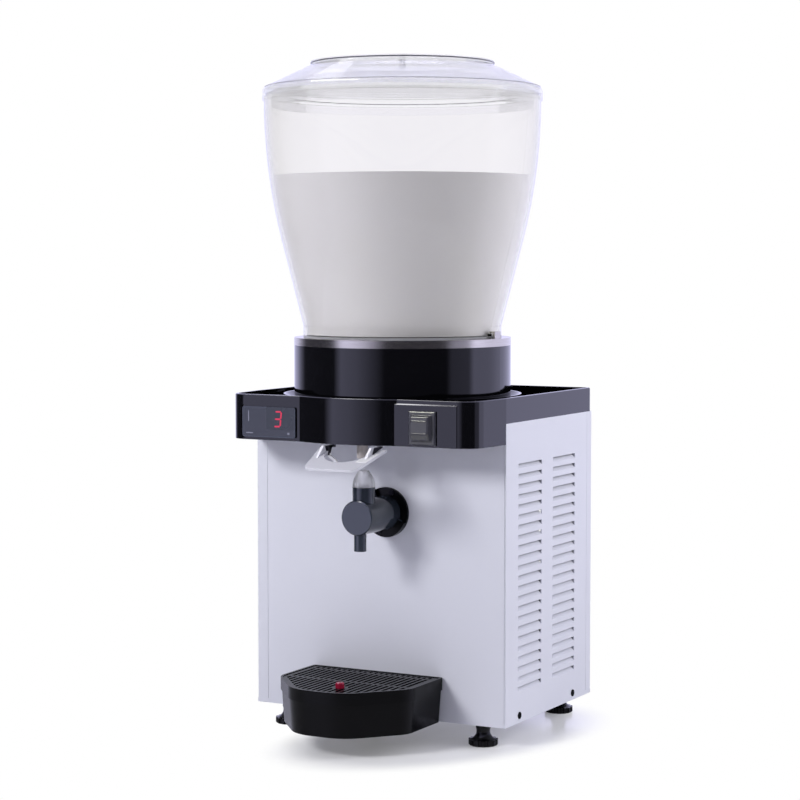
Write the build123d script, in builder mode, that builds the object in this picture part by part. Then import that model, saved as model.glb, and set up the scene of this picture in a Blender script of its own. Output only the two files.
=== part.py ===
from build123d import *
import os
from math import cos, pi, radians, sin, sqrt

# A countertop dispenser for a cold, frothed yoghurt drink.
# Sizes are in millimetres. The front faces -Y, +X is to the right of someone at the front,
# Z is up, and the origin is on the counter under the middle of the whole machine.

# Sheet-metal cabinet
CABINET_WIDTH = 280.0
CABINET_DEPTH = 205.0
CABINET_HEIGHT = 294.6
SHEET = 1.2
SEAM = 0.4
BEND = 1.0
FLANGE = 12.0
PAN_LIP = 4.0
PAN_UPSTAND = 9.0
PANEL_RETURN = 10.0
REAR_RETURN = 12.0
DECK_SHEET = 1.5

# Pressed louvres on the two sides and round-ended slots at the rear
LOUVRE_LENGTH = 54.0
LOUVRE_OPEN = 4.6
LOUVRE_LEAN = 4.0
LOUVRE_PITCH = 9.93
LOUVRE_ROWS = 23
LOUVRE_LOWEST = 31.0
LOUVRE_FRONT_INSET = 28.0
LOUVRE_COLUMN_PITCH = 80.5
VENT_LENGTH = 60.0
VENT_HEIGHT = 5.0
VENT_PITCH_X = 78.0
VENT_PITCH_Z = 18.0
VENT_COLUMNS = 3
VENT_ROWS = 9
VENT_LOWEST = 60.0

# Levelling feet
FOOT_HEIGHT = 21.0
FOOT_RADIUS = 14.5
FOOT_NECK_RADIUS = 7.4
FOOT_DISC = 6.0
FOOT_SHOULDER = 4.0
FOOT_FLUTES = 14
FOOT_FLUTE = 1.7
FOOT_INSET_X = 30.0
FOOT_INSET_Y = 13.0
STUD_RADIUS = 4.0
STUD_LENGTH = 10.0
NUT_ACROSS_FLATS = 13.0
NUT_HEIGHT = 5.0
HOLE_CLEARANCE = 0.25

# Panel screws
PANEL_HEAD_RADIUS = 3.5
PANEL_HEAD_HEIGHT = 0.7
SCREW_HEAD_RADIUS = 2.6
SCREW_HEAD_HEIGHT = 1.4
SCREW_RADIUS = 1.8
SCREW_LENGTH = 7.0
SCREW_LIFT = 7.3
SCREW_FRONT_INSET = 31.6
SCREW_REAR_INSET = 46.0

# Moulded top cover with its control overhang and its drum tray
COVER_DROP = 20.1
COVER_RISE = 24.4
COVER_REACH = 60.0
COVER_TAPER = 5.0
COVER_CORNER = 20.0
COVER_REAR_CORNER = 6.0
COVER_WALL = 3.4
COVER_FLOOR = 3.0
COVER_TRAY_DEPTH = 13.0
COVER_EDGE = 1.4
PAD_RISE = 1.0
PAD_LOW_EDGE = 4.0
PAD_SIDE_INSET = 22.5
BULGE_MARGIN = 15.0
BULGE_BLEND = 3.0
BULGE_SHARE = 0.39
RIB_RADIUS = 44.0
RIB_THICKNESS = 3.0

# Cooling drum: jacket, foam, evaporator and stainless pot
DRUM_SETBACK = 51.3
DRUM_MARGIN = 9.3
JACKET_HEIGHT = 60.2
JACKET_WALL = 2.0
SKIRT_MARGIN = 5.5
SKIRT_HEIGHT = 6.0
LIP_MARGIN = 10.8
LIP_HEIGHT = 11.6
LIP_THICKNESS = 1.6
POT_SHEET = 1.2
POT_RING_HEIGHT = 7.6
FOAM_BASE = 6.0
FOAM_CLEARANCE = 0.3
EVAPORATOR_THICKNESS = 7.0
EVAPORATOR_LIFT = 22.0
EVAPORATOR_HEIGHT = 32.0
LINE_RADIUS = 3.0
LINE_HOLE = 4.0
SUCTION_ANGLE = 40.0
FEED_ANGLE = 140.0

# Bowl with its gasket and hooks, and the lid
GASKET_HEIGHT = 2.2
GASKET_WIDTH = 9.2
BOWL_FOOT_RADIUS = 99.2
BOWL_FOOT_HEIGHT = 9.0
BOWL_FOOT_FLANGE = 2.4
BOWL_CONE_RADIUS = 120.8
BOWL_CONE_HEIGHT = 94.5
BOWL_RIM_RADIUS = 138.0
BOWL_HEIGHT = 235.0
BOWL_WALL = 3.0
BOWL_LIP = 1.5
BOWL_LIP_HEIGHT = 2.5
SEAT_GAP = 0.2
LUG_REACH = 4.2
LUG_ANGLE = 9.0
HOOK_ANGLE = 7.0
HOOK_POST = 2.4
HOOK_THICKNESS = 2.0
HOOK_GAP = 0.35
HOOK_CLEARANCE = 1.05
LID_RIM_HEIGHT = 10.4
LID_WALL = 2.6
LID_CONE_REACH = 50.4
LID_CONE_RISE = 25.7
LID_BEAD_OVERHANG = 1.9
LID_BEAD_HEIGHT = 2.6
LID_PLUG_GAP = 4.0
LID_PLUG_DEPTH = 9.0

# Agitator and its drive
PADDLE_RADIUS = 70.0
PADDLE_HEIGHT = 11.0
PADDLE_BLADE = 3.0
PADDLE_BLADES = 3
PADDLE_HUB_RADIUS = 14.0
PADDLE_SOCKET = 12.0
PADDLE_LIFT = 2.0
SHAFT_RADIUS = 4.0
RUNNING_FIT = 0.06
SEAL_RADIUS = 9.0
SEAL_COLLAR = 11.5
SEAL_COLLAR_HEIGHT = 1.4
GEARBOX_WIDTH = 74.0
GEARBOX_DEPTH = 58.0
GEARBOX_HEIGHT = 30.0
GEARBOX_CORNER = 8.0
AGITATOR_MOTOR_RADIUS = 27.0
AGITATOR_MOTOR_HEIGHT = 28.0

# Pinch tap with its lever
TAP_X = 10.0
TAP_REACH = 49.0
TAP_TUBE_RADIUS = 5.5
TAP_BORE = 4.0
TAP_TIP_DROP = 14.5
ELBOW_RADIUS = 5.0
ELBOW_LIFT = 8.0
ELBOW_BEND = 6.0
PIVOT_REACH = 57.2
PIVOT_RISE = 6.5
PIN_RADIUS = 1.75
PIN_OVERHANG = 2.0
BRACKET_SHEET = 1.5
BRACKET_HALF_WIDTH = 30.0
EAR_HALF_DEPTH = 3.6
ANVIL_HALF_WIDTH = 9.0
ANVIL_HEIGHT = 18.0
ARM_THICKNESS = 2.5
ARM_RADIUS = 4.0
ARM_GAP = 1.0
PINCH_RADIUS = 2.3
PINCH_RISE = 8.0
PINCH_GAP = 0.3
PADDLE_PLATE = 2.4
LEVER_BACK_REACH = 67.0
LEVER_BACK_DROP = 3.5
LEVER_BACK_WIDTH = 73.0
LEVER_FRONT_REACH = 113.6
LEVER_FRONT_DROP = 19.5
LEVER_FRONT_WIDTH = 56.0
LEVER_CORNER = 8.0
NOZZLE_CLEARANCE = 24.0
NOZZLE_CUT = 33.0
GUSSET_LENGTH = 26.0
SPRING_WIRE = 0.8
SPRING_RADIUS = 3.0
SPRING_TURNS = 3
SPRING_PITCH = 1.3
SPRING_OFFSET = 9.0
SPRING_LEG = 7.5

# Frother on the front panel
FROTHER_DROP = 71.5
FROTHER_REACH = 61.0
BARREL_RADIUS = 17.0
BARREL_WALL = 3.0
BARREL_FACE_EDGE = 1.0
INLET_REACH = 46.4
INLET_RADIUS = 11.0
INLET_BORE = 8.5
INLET_RISE = 29.0
SPOUT_REACH = 53.6
SPOUT_RADIUS = 6.0
SPOUT_BORE = 4.2
SPOUT_DROP = 32.6
DOME_HEIGHT = 16.0
DOME_WALL = 2.0
DOME_MOUTH = 4.5
DOME_PLUG = 6.0
FIT_GAP = 0.1
BAYONET_RADIUS = 24.7
BAYONET_BASE = 3.0
BAYONET_HEIGHT = 8.0
BAYONET_CLAW = 1.3
BAYONET_LUG = 21.3
BAYONET_LUG_ANGLE = 18.0
BAYONET_CLAW_ANGLE = 22.0
BAYONET_GAP = 0.3
BAYONET_SCREW_CIRCLE = 21.0
BAYONET_SCREW_ANGLE = 70.0
IMPELLER_RADIUS = 11.0
IMPELLER_LENGTH = 12.0
IMPELLER_HUB = 4.5
IMPELLER_BLADES = 6
IMPELLER_BLADE = 1.6
IMPELLER_REACH = 32.0
FROTHER_SHAFT = 2.5
FROTHER_SEAL = 8.0
FROTHER_MOTOR_RADIUS = 21.0
FROTHER_MOTOR_LENGTH = 54.0
FROTHER_PLATE = 2.0
FROTHER_PLATE_SIZE = 50.0

# Controls in the overhang
THERMOSTAT_SIDE_INSET = 51.3
THERMOSTAT_WIDTH = 60.5
THERMOSTAT_HEIGHT = 30.0
THERMOSTAT_BEZEL = 2.2
THERMOSTAT_RECESS = 1.6
RECESS_BORDER = 1.8
THERMOSTAT_EDGE = 1.4
THERMOSTAT_FACE = 0.8
THERMOSTAT_BODY_WIDTH = 54.0
THERMOSTAT_BODY_HEIGHT = 20.0
THERMOSTAT_BODY_DEPTH = 42.0
CONTROL_RISE = 17.8
SWITCH_SIDE_INSET = 58.0
SWITCH_WIDTH = 28.8
SWITCH_HEIGHT = 32.4
SWITCH_BEZEL = 2.0
SWITCH_BODY_WIDTH = 22.0
SWITCH_BODY_HEIGHT = 19.0
SWITCH_BODY_DEPTH = 22.0
ROCKER_WIDTH = 16.0
ROCKER_RADIUS = 8.5
ROCKER_SINK = 4.0
ROCKER_TILT = 10.0
ROCKER_VALLEY = 8.0
ROCKER_GAP = 0.35
BOOT_REACH = 7.0
BOOT_WALL = 0.9
BOOT_TAPER = 4.0
BODY_GAP = 0.3

# Refrigeration in the cabinet
COMPRESSOR_SIDE_INSET = 72.0
COMPRESSOR_REAR_INSET = 77.0
COMPRESSOR_RADIUS = 50.0
COMPRESSOR_HEIGHT = 128.0
COMPRESSOR_PLATE = 2.5
COMPRESSOR_PLATE_SIZE = 104.0
GROMMET_RADIUS = 8.0
GROMMET_HEIGHT = 9.0
GROMMET_INSET = 10.0
CONDENSER_GAP = 2.4
CONDENSER_DEPTH = 26.0
CONDENSER_LENGTH = 108.0
CONDENSER_HEIGHT = 118.0
CONDENSER_REAR_INSET = 77.0
CONDENSER_FINS = 10
CONDENSER_FIN = 1.0
CONDENSER_ROWS = 4
CONDENSER_TUBE = 3.5
CONDENSER_BEND_REACH = 6.0
SHROUD_DEPTH = 14.0
SHROUD_WALL = 1.5
FAN_RADIUS = 46.0
FAN_HUB_RADIUS = 13.0
FAN_BLADES = 5
FAN_BLADE = 1.6
FAN_BLADE_DEPTH = 14.0
FAN_PITCH = 32.0
FAN_TIP_GAP = 2.0
FAN_SHAFT_RADIUS = 2.0
FAN_MOTOR_RADIUS = 18.0
FAN_MOTOR_LENGTH = 30.0
FAN_STRAP = 2.0
FAN_STRAP_WIDTH = 14.0
DRIER_RADIUS = 9.0
DRIER_LENGTH = 62.0
DRIER_SIDE_INSET = 92.0
DRIER_REAR_INSET = 27.0
DRIER_LIFT = 160.0
GLAND_RADIUS = 10.0
GLAND_BORE = 4.2
GLAND_COLLAR = 3.0
GLAND_FLANGE = 2.0
GLAND_SIDE_INSET = 44.0
GLAND_LIFT = 34.0
PORT_RISE = 14.0
LINE_RISE = 24.0

# Drip tray, grille, float and the rail that carries them
TRAY_REACH = 120.0
TRAY_HALF_WIDTH = 73.0
TRAY_SIDE_REACH = 68.0
TRAY_FRONT_HALF_WIDTH = 28.0
TRAY_HEIGHT = 44.0
TRAY_BAND = 12.0
TRAY_BAND_STEP = 1.2
TRAY_TAPER = 4.0
TRAY_WALL = 2.4
TRAY_FLOOR = 2.4
TRAY_FRONT_CORNER = 42.0
TRAY_SIDE_CORNER = 26.0
TRAY_BACK_CORNER = 3.0
GRILLE_THICKNESS = 3.2
GRILLE_SINK = 0.6
GRILLE_FRAME = 3.6
GRILLE_PITCH = 6.0
GRILLE_GAP = 3.4
GRILLE_RIB = 3.0
GRILLE_BACK_RIB = 0.12
GRILLE_MIDDLE_RIB = 0.5
GRILLE_LEDGE = 2.4
GRILLE_FIT = 0.4
FLOAT_X = 8.0
FLOAT_REACH = 90.0
FLOAT_RADIUS = 4.25
FLOAT_TOP = 48.6
FLOAT_PUCK_RADIUS = 11.0
FLOAT_PUCK_HEIGHT = 11.0
FLOAT_GAP = 0.35
RAIL_HALF_WIDTH = 40.0
RAIL_SHEET = 1.5
RAIL_FOOT = 6.0
RAIL_TOP = 32.0
RAIL_STANDOFF = 4.0
HOOK_LIP_HALF_WIDTH = 34.0
HOOK_LIP_DEPTH = 11.0
HOOK_LIP_THICKNESS = 2.4

# Places worked out from the sizes
FRONT_Y = (TRAY_REACH - CABINET_DEPTH - GLAND_FLANGE) / 2
REAR_Y = FRONT_Y + CABINET_DEPTH
CABINET_Y = (FRONT_Y + REAR_Y) / 2
BASE_Z = FOOT_HEIGHT
PANEL_Z = BASE_Z + PAN_LIP
CABINET_TOP = BASE_Z + CABINET_HEIGHT
PANEL_HEIGHT = CABINET_TOP - PANEL_Z
DECK_TOP = CABINET_TOP + DECK_SHEET
COVER_LOW = CABINET_TOP - COVER_DROP
COVER_TOP = CABINET_TOP + COVER_RISE
FLOOR_TOP = COVER_TOP - COVER_TRAY_DEPTH
FLOOR_LOW = FLOOR_TOP - COVER_FLOOR
DRUM_Y = FRONT_Y + DRUM_SETBACK
JACKET_TOP = FLOOR_TOP + JACKET_HEIGHT
RING_TOP = JACKET_TOP + POT_RING_HEIGHT
POT_LOW = FLOOR_TOP + FOAM_BASE
POT_FLOOR = POT_LOW + POT_SHEET
BOWL_Z = RING_TOP + GASKET_HEIGHT + SEAT_GAP
BOWL_TOP = BOWL_Z + BOWL_HEIGHT
TAP_Y = FRONT_Y - TAP_REACH
PIVOT_Y = FRONT_Y - PIVOT_REACH
PIVOT_Z = COVER_LOW + PIVOT_RISE
TAP_TIP = COVER_LOW - TAP_TIP_DROP
FROTHER_Z = COVER_LOW - FROTHER_DROP
CONTROL_Z = COVER_LOW + CONTROL_RISE
POT_RADIUS = BOWL_FOOT_RADIUS - GASKET_WIDTH
DRUM_RADIUS = BOWL_FOOT_RADIUS + DRUM_MARGIN
SKIRT_RADIUS = DRUM_RADIUS + SKIRT_MARGIN
LIP_RADIUS = DRUM_RADIUS + LIP_MARGIN
BULGE_RADIUS = DRUM_RADIUS + BULGE_MARGIN
THERMOSTAT_X = THERMOSTAT_SIDE_INSET - CABINET_WIDTH / 2
SWITCH_X = CABINET_WIDTH / 2 - SWITCH_SIDE_INSET
PANEL_Y = FRONT_Y - COVER_REACH
TRAY_TOP = BASE_Z + TRAY_HEIGHT

DRUM_AXIS = Axis((0, DRUM_Y, 0), (0, 0, 1))
DRUM_PLANE = Plane(origin=(0, DRUM_Y, 0), x_dir=(1, 0, 0), z_dir=(0, -1, 0))
FROTHER_AXIS = Axis((TAP_X, FRONT_Y, FROTHER_Z), (0, -1, 0))
FROTHER_PLANE = Plane(origin=(TAP_X, FRONT_Y, FROTHER_Z), x_dir=(1, 0, 0), z_dir=(0, -1, 0))
SIDE_PLANE = Plane(origin=(0, 0, 0), x_dir=(0, 1, 0), z_dir=(1, 0, 0))

os.makedirs("parts", exist_ok=True)


def keep(piece, name):
    """Label a finished piece and write it to its own file."""
    piece.part.label = name
    export_step(piece.part, f"parts/{name}.step")


def ring_outline(inner, outer, low, high):
    """The four corners of a plain ring's section, as radius and height."""
    return [(inner, low), (outer, low), (outer, high), (inner, high)]


def foot_places():
    """The four foot centres under the cabinet: front left, front right, rear left, rear right."""
    x = CABINET_WIDTH / 2 - FOOT_INSET_X
    front = FRONT_Y + FOOT_INSET_Y
    rear = REAR_Y - FOOT_INSET_Y
    return [(-x, front), (x, front), (-x, rear), (x, rear)]


# Base pan: a folded tray whose upstand stands inside the panels
PAN_WIDTH = CABINET_WIDTH - 2 * (SHEET + SEAM)
PAN_DEPTH = CABINET_DEPTH - 2 * (SHEET + SEAM)
SCREW_PLACES = [(FRONT_Y + SCREW_FRONT_INSET, BASE_Z + SCREW_LIFT),
                (REAR_Y - SCREW_REAR_INSET, BASE_Z + SCREW_LIFT)]
with BuildPart() as base_pan:
    with BuildSketch(Plane.XY.offset(BASE_Z)):
        with Locations((0, CABINET_Y)):
            Rectangle(CABINET_WIDTH, CABINET_DEPTH)
    extrude(amount=PAN_LIP)
    with BuildSketch(Plane.XY.offset(PANEL_Z)):
        with Locations((0, CABINET_Y)):
            Rectangle(PAN_WIDTH, PAN_DEPTH)
    extrude(amount=PAN_UPSTAND)
    with BuildSketch(Plane.XY.offset(BASE_Z + SHEET)):
        with Locations((0, CABINET_Y)):
            Rectangle(PAN_WIDTH - 2 * SHEET, PAN_DEPTH - 2 * SHEET)
    extrude(amount=PAN_LIP + PAN_UPSTAND, mode=Mode.SUBTRACT)
    with BuildSketch(Plane.XY.offset(BASE_Z)):
        with Locations(*foot_places()):
            Circle(STUD_RADIUS + HOLE_CLEARANCE)
    extrude(amount=SHEET, mode=Mode.SUBTRACT)
    with BuildSketch(SIDE_PLANE):
        with Locations(*SCREW_PLACES):
            Circle(SCREW_RADIUS + HOLE_CLEARANCE)
    extrude(amount=CABINET_WIDTH / 2, both=True, mode=Mode.SUBTRACT)
keep(base_pan, "base_pan")

# One louvre flap, lanced inwards and hinged on its lower edge; its own X is along the louvre,
# its Y up the panel and its Z out of the panel
FLAP_HEIGHT = LOUVRE_OPEN - SEAM
with BuildPart() as louvre_flap:
    with BuildSketch(Plane.YZ):
        with BuildLine():
            Polyline((0, 0), (0, -SHEET), (FLAP_HEIGHT, -SHEET - LOUVRE_LEAN),
                     (FLAP_HEIGHT, -LOUVRE_LEAN), close=True)
        make_face()
    extrude(amount=LOUVRE_LENGTH / 2 - SEAM, both=True)

# Side panels: a louvred sheet with a top flange; only the left one folds round on to the front
SIDE_END = REAR_Y - REAR_RETURN - SEAM
SIDE_DEPTH = SIDE_END - FRONT_Y
LOUVRE_Y = FRONT_Y + LOUVRE_FRONT_INSET + (LOUVRE_LENGTH + LOUVRE_COLUMN_PITCH) / 2
LOUVRE_Z = BASE_Z + LOUVRE_LOWEST + LOUVRE_PITCH * (LOUVRE_ROWS - 1) / 2
LOUVRE_PLANE = Plane(origin=(CABINET_WIDTH / 2, LOUVRE_Y, LOUVRE_Z), x_dir=(0, 1, 0), z_dir=(1, 0, 0))
with BuildPart() as right_side_panel:
    with BuildSketch(Plane.XY.offset(PANEL_Z)):
        with Locations((CABINET_WIDTH / 2 - FLANGE / 2, FRONT_Y + SIDE_DEPTH / 2)):
            Rectangle(FLANGE, SIDE_DEPTH)
    extrude(amount=PANEL_HEIGHT)
    fillet(right_side_panel.edges().filter_by(Axis.Z).group_by(Axis.Y)[0].sort_by(Axis.X)[-1:], BEND)
    with BuildSketch(Plane.XY.offset(PANEL_Z)):
        with Locations((CABINET_WIDTH / 2 - (FLANGE + SHEET) / 2, FRONT_Y + (SIDE_DEPTH + SHEET) / 2)):
            Rectangle(FLANGE - SHEET, SIDE_DEPTH - SHEET)
    extrude(amount=PANEL_HEIGHT - SHEET, mode=Mode.SUBTRACT)
    with Locations(LOUVRE_PLANE):
        with GridLocations(LOUVRE_COLUMN_PITCH, LOUVRE_PITCH, 2, LOUVRE_ROWS):
            Box(LOUVRE_LENGTH, LOUVRE_OPEN, 2 * SHEET, align=(Align.CENTER, Align.MIN, Align.CENTER),
                mode=Mode.SUBTRACT)
    with Locations(LOUVRE_PLANE):
        with GridLocations(LOUVRE_COLUMN_PITCH, LOUVRE_PITCH, 2, LOUVRE_ROWS):
            add(louvre_flap.part)
    with BuildSketch(SIDE_PLANE):
        with Locations(*SCREW_PLACES):
            Circle(SCREW_RADIUS + HOLE_CLEARANCE)
    extrude(amount=CABINET_WIDTH / 2, mode=Mode.SUBTRACT)

with BuildPart() as left_side_panel:
    add(mirror(right_side_panel.part, about=Plane.YZ, mode=Mode.PRIVATE))
keep(left_side_panel, "left_side_panel")

with right_side_panel:
    with BuildSketch(Plane.XY.offset(PANEL_Z)):
        with Locations((CABINET_WIDTH / 2 - SHEET, FRONT_Y)):
            Rectangle(FLANGE, PANEL_RETURN + SEAM, align=(Align.MAX, Align.MIN))
    extrude(amount=PANEL_HEIGHT, mode=Mode.SUBTRACT)
keep(right_side_panel, "right_side_panel")

# Front panel: from the left side's flange to the right side's edge, with folded edges above the
# pan's upstand
FRONT_WIDTH = CABINET_WIDTH - FLANGE - SHEET - 2 * SEAM
FRONT_MIDDLE = (FLANGE - SHEET) / 2
FOLD_Z = PANEL_Z + PAN_UPSTAND + SEAM
with BuildPart() as front_panel:
    with BuildSketch(Plane.XY.offset(PANEL_Z)):
        with Locations((FRONT_MIDDLE, FRONT_Y + SHEET / 2)):
            Rectangle(FRONT_WIDTH, SHEET)
    extrude(amount=PANEL_HEIGHT)
    with BuildSketch(Plane.XY.offset(FOLD_Z)):
        with Locations((FRONT_MIDDLE, FRONT_Y + PANEL_RETURN / 2)):
            Rectangle(FRONT_WIDTH, PANEL_RETURN)
        with Locations((FRONT_MIDDLE, FRONT_Y + (PANEL_RETURN + SHEET) / 2)):
            Rectangle(FRONT_WIDTH - 2 * SHEET, PANEL_RETURN - SHEET, mode=Mode.SUBTRACT)
    extrude(amount=CABINET_TOP - FOLD_Z)
    with BuildSketch(FROTHER_PLANE):
        Circle(FROTHER_SEAL + HOLE_CLEARANCE)
    extrude(amount=-SHEET, mode=Mode.SUBTRACT)
keep(front_panel, "front_panel")

# Rear panel: a channel whose returns lie flush with the sides, with vent slots and the cable hole
REAR_PLANE = Plane(origin=(0, REAR_Y, 0), x_dir=(-1, 0, 0), z_dir=(0, 1, 0))
VENT_Z = BASE_Z + VENT_LOWEST + VENT_PITCH_Z * (VENT_ROWS - 1) / 2
GLAND_X = -CABINET_WIDTH / 2 + GLAND_SIDE_INSET
GLAND_Z = BASE_Z + GLAND_LIFT
with BuildPart() as rear_panel:
    with BuildSketch(Plane.XY.offset(PANEL_Z)):
        with Locations((0, REAR_Y - REAR_RETURN / 2)):
            Rectangle(CABINET_WIDTH, REAR_RETURN)
        with Locations((0, REAR_Y - (REAR_RETURN + SHEET) / 2)):
            Rectangle(CABINET_WIDTH - 2 * SHEET, REAR_RETURN - SHEET, mode=Mode.SUBTRACT)
    extrude(amount=PANEL_HEIGHT)
    fillet(rear_panel.edges().filter_by(Axis.Z).group_by(Axis.Y)[-1], BEND)
    with BuildSketch(REAR_PLANE):
        with Locations((0, VENT_Z)):
            with GridLocations(VENT_PITCH_X, VENT_PITCH_Z, VENT_COLUMNS, VENT_ROWS):
                SlotOverall(VENT_LENGTH, VENT_HEIGHT)
        with Locations((-GLAND_X, GLAND_Z)):
            Circle(GLAND_RADIUS - GLAND_COLLAR + HOLE_CLEARANCE)
    extrude(amount=-SHEET, mode=Mode.SUBTRACT)
keep(rear_panel, "rear_panel")

# Top deck: the sheet that carries the drive and stiffens the cover
DECK_WIDTH = CABINET_WIDTH - 2 * (COVER_WALL + SEAM)
DECK_END = REAR_Y - COVER_WALL - SEAM
EVAPORATOR_INNER = POT_RADIUS + POT_SHEET + FOAM_CLEARANCE
EVAPORATOR_MIDDLE = EVAPORATOR_INNER + EVAPORATOR_THICKNESS / 2
LINE_PLACES = [(EVAPORATOR_MIDDLE * cos(radians(angle)), DRUM_Y + EVAPORATOR_MIDDLE * sin(radians(angle)))
               for angle in (SUCTION_ANGLE, FEED_ANGLE)]
with BuildPart() as top_deck:
    with BuildSketch(Plane.XY.offset(CABINET_TOP)):
        with Locations((0, (FRONT_Y + DECK_END) / 2)):
            Rectangle(DECK_WIDTH, DECK_END - FRONT_Y)
        with Locations((0, DRUM_Y)):
            Circle(SEAL_RADIUS, mode=Mode.SUBTRACT)
        with Locations(*LINE_PLACES):
            Circle(LINE_HOLE, mode=Mode.SUBTRACT)
    extrude(amount=DECK_SHEET)
    fillet(top_deck.edges().filter_by(Axis.Z).group_by(Axis.Y)[-1], COVER_REAR_CORNER)
keep(top_deck, "top_deck")


def cover_plan(low, inset):
    """The cover's outline at a height: straight sides, a narrower front and the round bulge."""
    side = CABINET_WIDTH / 2
    front_half = side - COVER_TAPER
    blend_y = PANEL_Y - BULGE_BLEND
    blend_x = sqrt((BULGE_RADIUS + BULGE_BLEND) ** 2 - (DRUM_Y - blend_y) ** 2)
    share = BULGE_RADIUS / (BULGE_RADIUS + BULGE_BLEND)
    bulge_x = blend_x * share
    bulge_y = DRUM_Y + (blend_y - DRUM_Y) * share
    with BuildSketch(Plane.XY.offset(low)) as plan:
        with BuildLine():
            Polyline((-blend_x, PANEL_Y), (-front_half, PANEL_Y), (-side, FRONT_Y), (-side, REAR_Y),
                     (side, REAR_Y), (side, FRONT_Y), (front_half, PANEL_Y), (blend_x, PANEL_Y))
            TangentArc((blend_x, PANEL_Y), (bulge_x, bulge_y), tangent=(-1, 0))
            ThreePointArc((bulge_x, bulge_y), (0, DRUM_Y - BULGE_RADIUS), (-bulge_x, bulge_y))
            TangentArc((-blend_x, PANEL_Y), (-bulge_x, bulge_y), tangent=(1, 0))
        make_face()
        front = plan.vertices().group_by(Axis.Y)[1].sort_by(Axis.X)
        fillet([front[0], front[-1]], COVER_CORNER)
        fillet(plan.vertices().group_by(Axis.Y)[-1], COVER_REAR_CORNER)
        if inset:
            offset(amount=-inset)
    return plan.sketch


# Top cover: a moulded shell with a floor half way up, open below the overhang, and a raised pad
# for the switch between the bulge and the corner
THERMOSTAT_PLANE = Plane(origin=(THERMOSTAT_X, PANEL_Y + THERMOSTAT_RECESS, CONTROL_Z),
                         x_dir=(1, 0, 0), z_dir=(0, -1, 0))
PAD_Y = PANEL_Y - PAD_RISE
PAD_TOP = COVER_TOP - PAD_LOW_EDGE
PAD_START = BULGE_RADIUS * BULGE_SHARE
PAD_END = CABINET_WIDTH / 2 - PAD_SIDE_INSET
SWITCH_PLANE = Plane(origin=(SWITCH_X, PAD_Y, CONTROL_Z), x_dir=(1, 0, 0), z_dir=(0, -1, 0))
with BuildPart() as top_cover:
    add(cover_plan(COVER_LOW, 0))
    extrude(amount=COVER_TOP - COVER_LOW)
    fillet(top_cover.edges().group_by(Axis.Z)[-1], COVER_EDGE)
    add(cover_plan(FLOOR_TOP, COVER_WALL))
    extrude(amount=COVER_TRAY_DEPTH, mode=Mode.SUBTRACT)
    add(cover_plan(COVER_LOW, COVER_WALL))
    extrude(amount=FLOOR_LOW - COVER_LOW, mode=Mode.SUBTRACT)
    with BuildSketch(Plane.XY.offset(COVER_LOW)):
        with Locations((0, FRONT_Y - SEAM)):
            Rectangle(2 * CABINET_WIDTH, 2 * CABINET_DEPTH, align=(Align.CENTER, Align.MIN))
    extrude(amount=COVER_DROP, mode=Mode.SUBTRACT)
    with BuildSketch(Plane.XY.offset(DECK_TOP)):
        with Locations((0, DRUM_Y)):
            Circle(RIB_RADIUS)
            Circle(RIB_RADIUS - RIB_THICKNESS, mode=Mode.SUBTRACT)
    extrude(amount=FLOOR_LOW - DECK_TOP)
    with BuildSketch(Plane.XY.offset(FLOOR_LOW)):
        with Locations((0, DRUM_Y)):
            Circle(SEAL_COLLAR + HOLE_CLEARANCE)
        with Locations((TAP_X, TAP_Y)):
            Circle(TAP_TUBE_RADIUS + FOAM_CLEARANCE)
        with Locations(*LINE_PLACES):
            Circle(LINE_HOLE)
    extrude(amount=COVER_FLOOR, mode=Mode.SUBTRACT)
    with BuildSketch(THERMOSTAT_PLANE):
        RectangleRounded(THERMOSTAT_WIDTH + 2 * RECESS_BORDER, THERMOSTAT_HEIGHT + 2 * RECESS_BORDER,
                         THERMOSTAT_BEZEL + RECESS_BORDER)
    extrude(amount=2 * THERMOSTAT_RECESS, mode=Mode.SUBTRACT)
    with BuildSketch(THERMOSTAT_PLANE):
        Rectangle(THERMOSTAT_BODY_WIDTH + 2 * BODY_GAP, THERMOSTAT_BODY_HEIGHT + 2 * BODY_GAP)
    extrude(amount=-2 * COVER_WALL, mode=Mode.SUBTRACT)
    with BuildSketch(Plane.YZ.offset(PAD_START)):
        with BuildLine():
            Polyline((PANEL_Y + PAD_RISE, COVER_LOW), (PAD_Y, COVER_LOW), (PAD_Y, PAD_TOP - PAD_RISE),
                     (PANEL_Y, PAD_TOP), (PANEL_Y + PAD_RISE, PAD_TOP), close=True)
        make_face()
    extrude(amount=PAD_END - PAD_START)
    with BuildSketch(SWITCH_PLANE):
        Rectangle(SWITCH_BODY_WIDTH + 2 * BODY_GAP, SWITCH_BODY_HEIGHT + 2 * BODY_GAP)
    extrude(amount=-2 * COVER_WALL, mode=Mode.SUBTRACT)
keep(top_cover, "top_cover")

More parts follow.
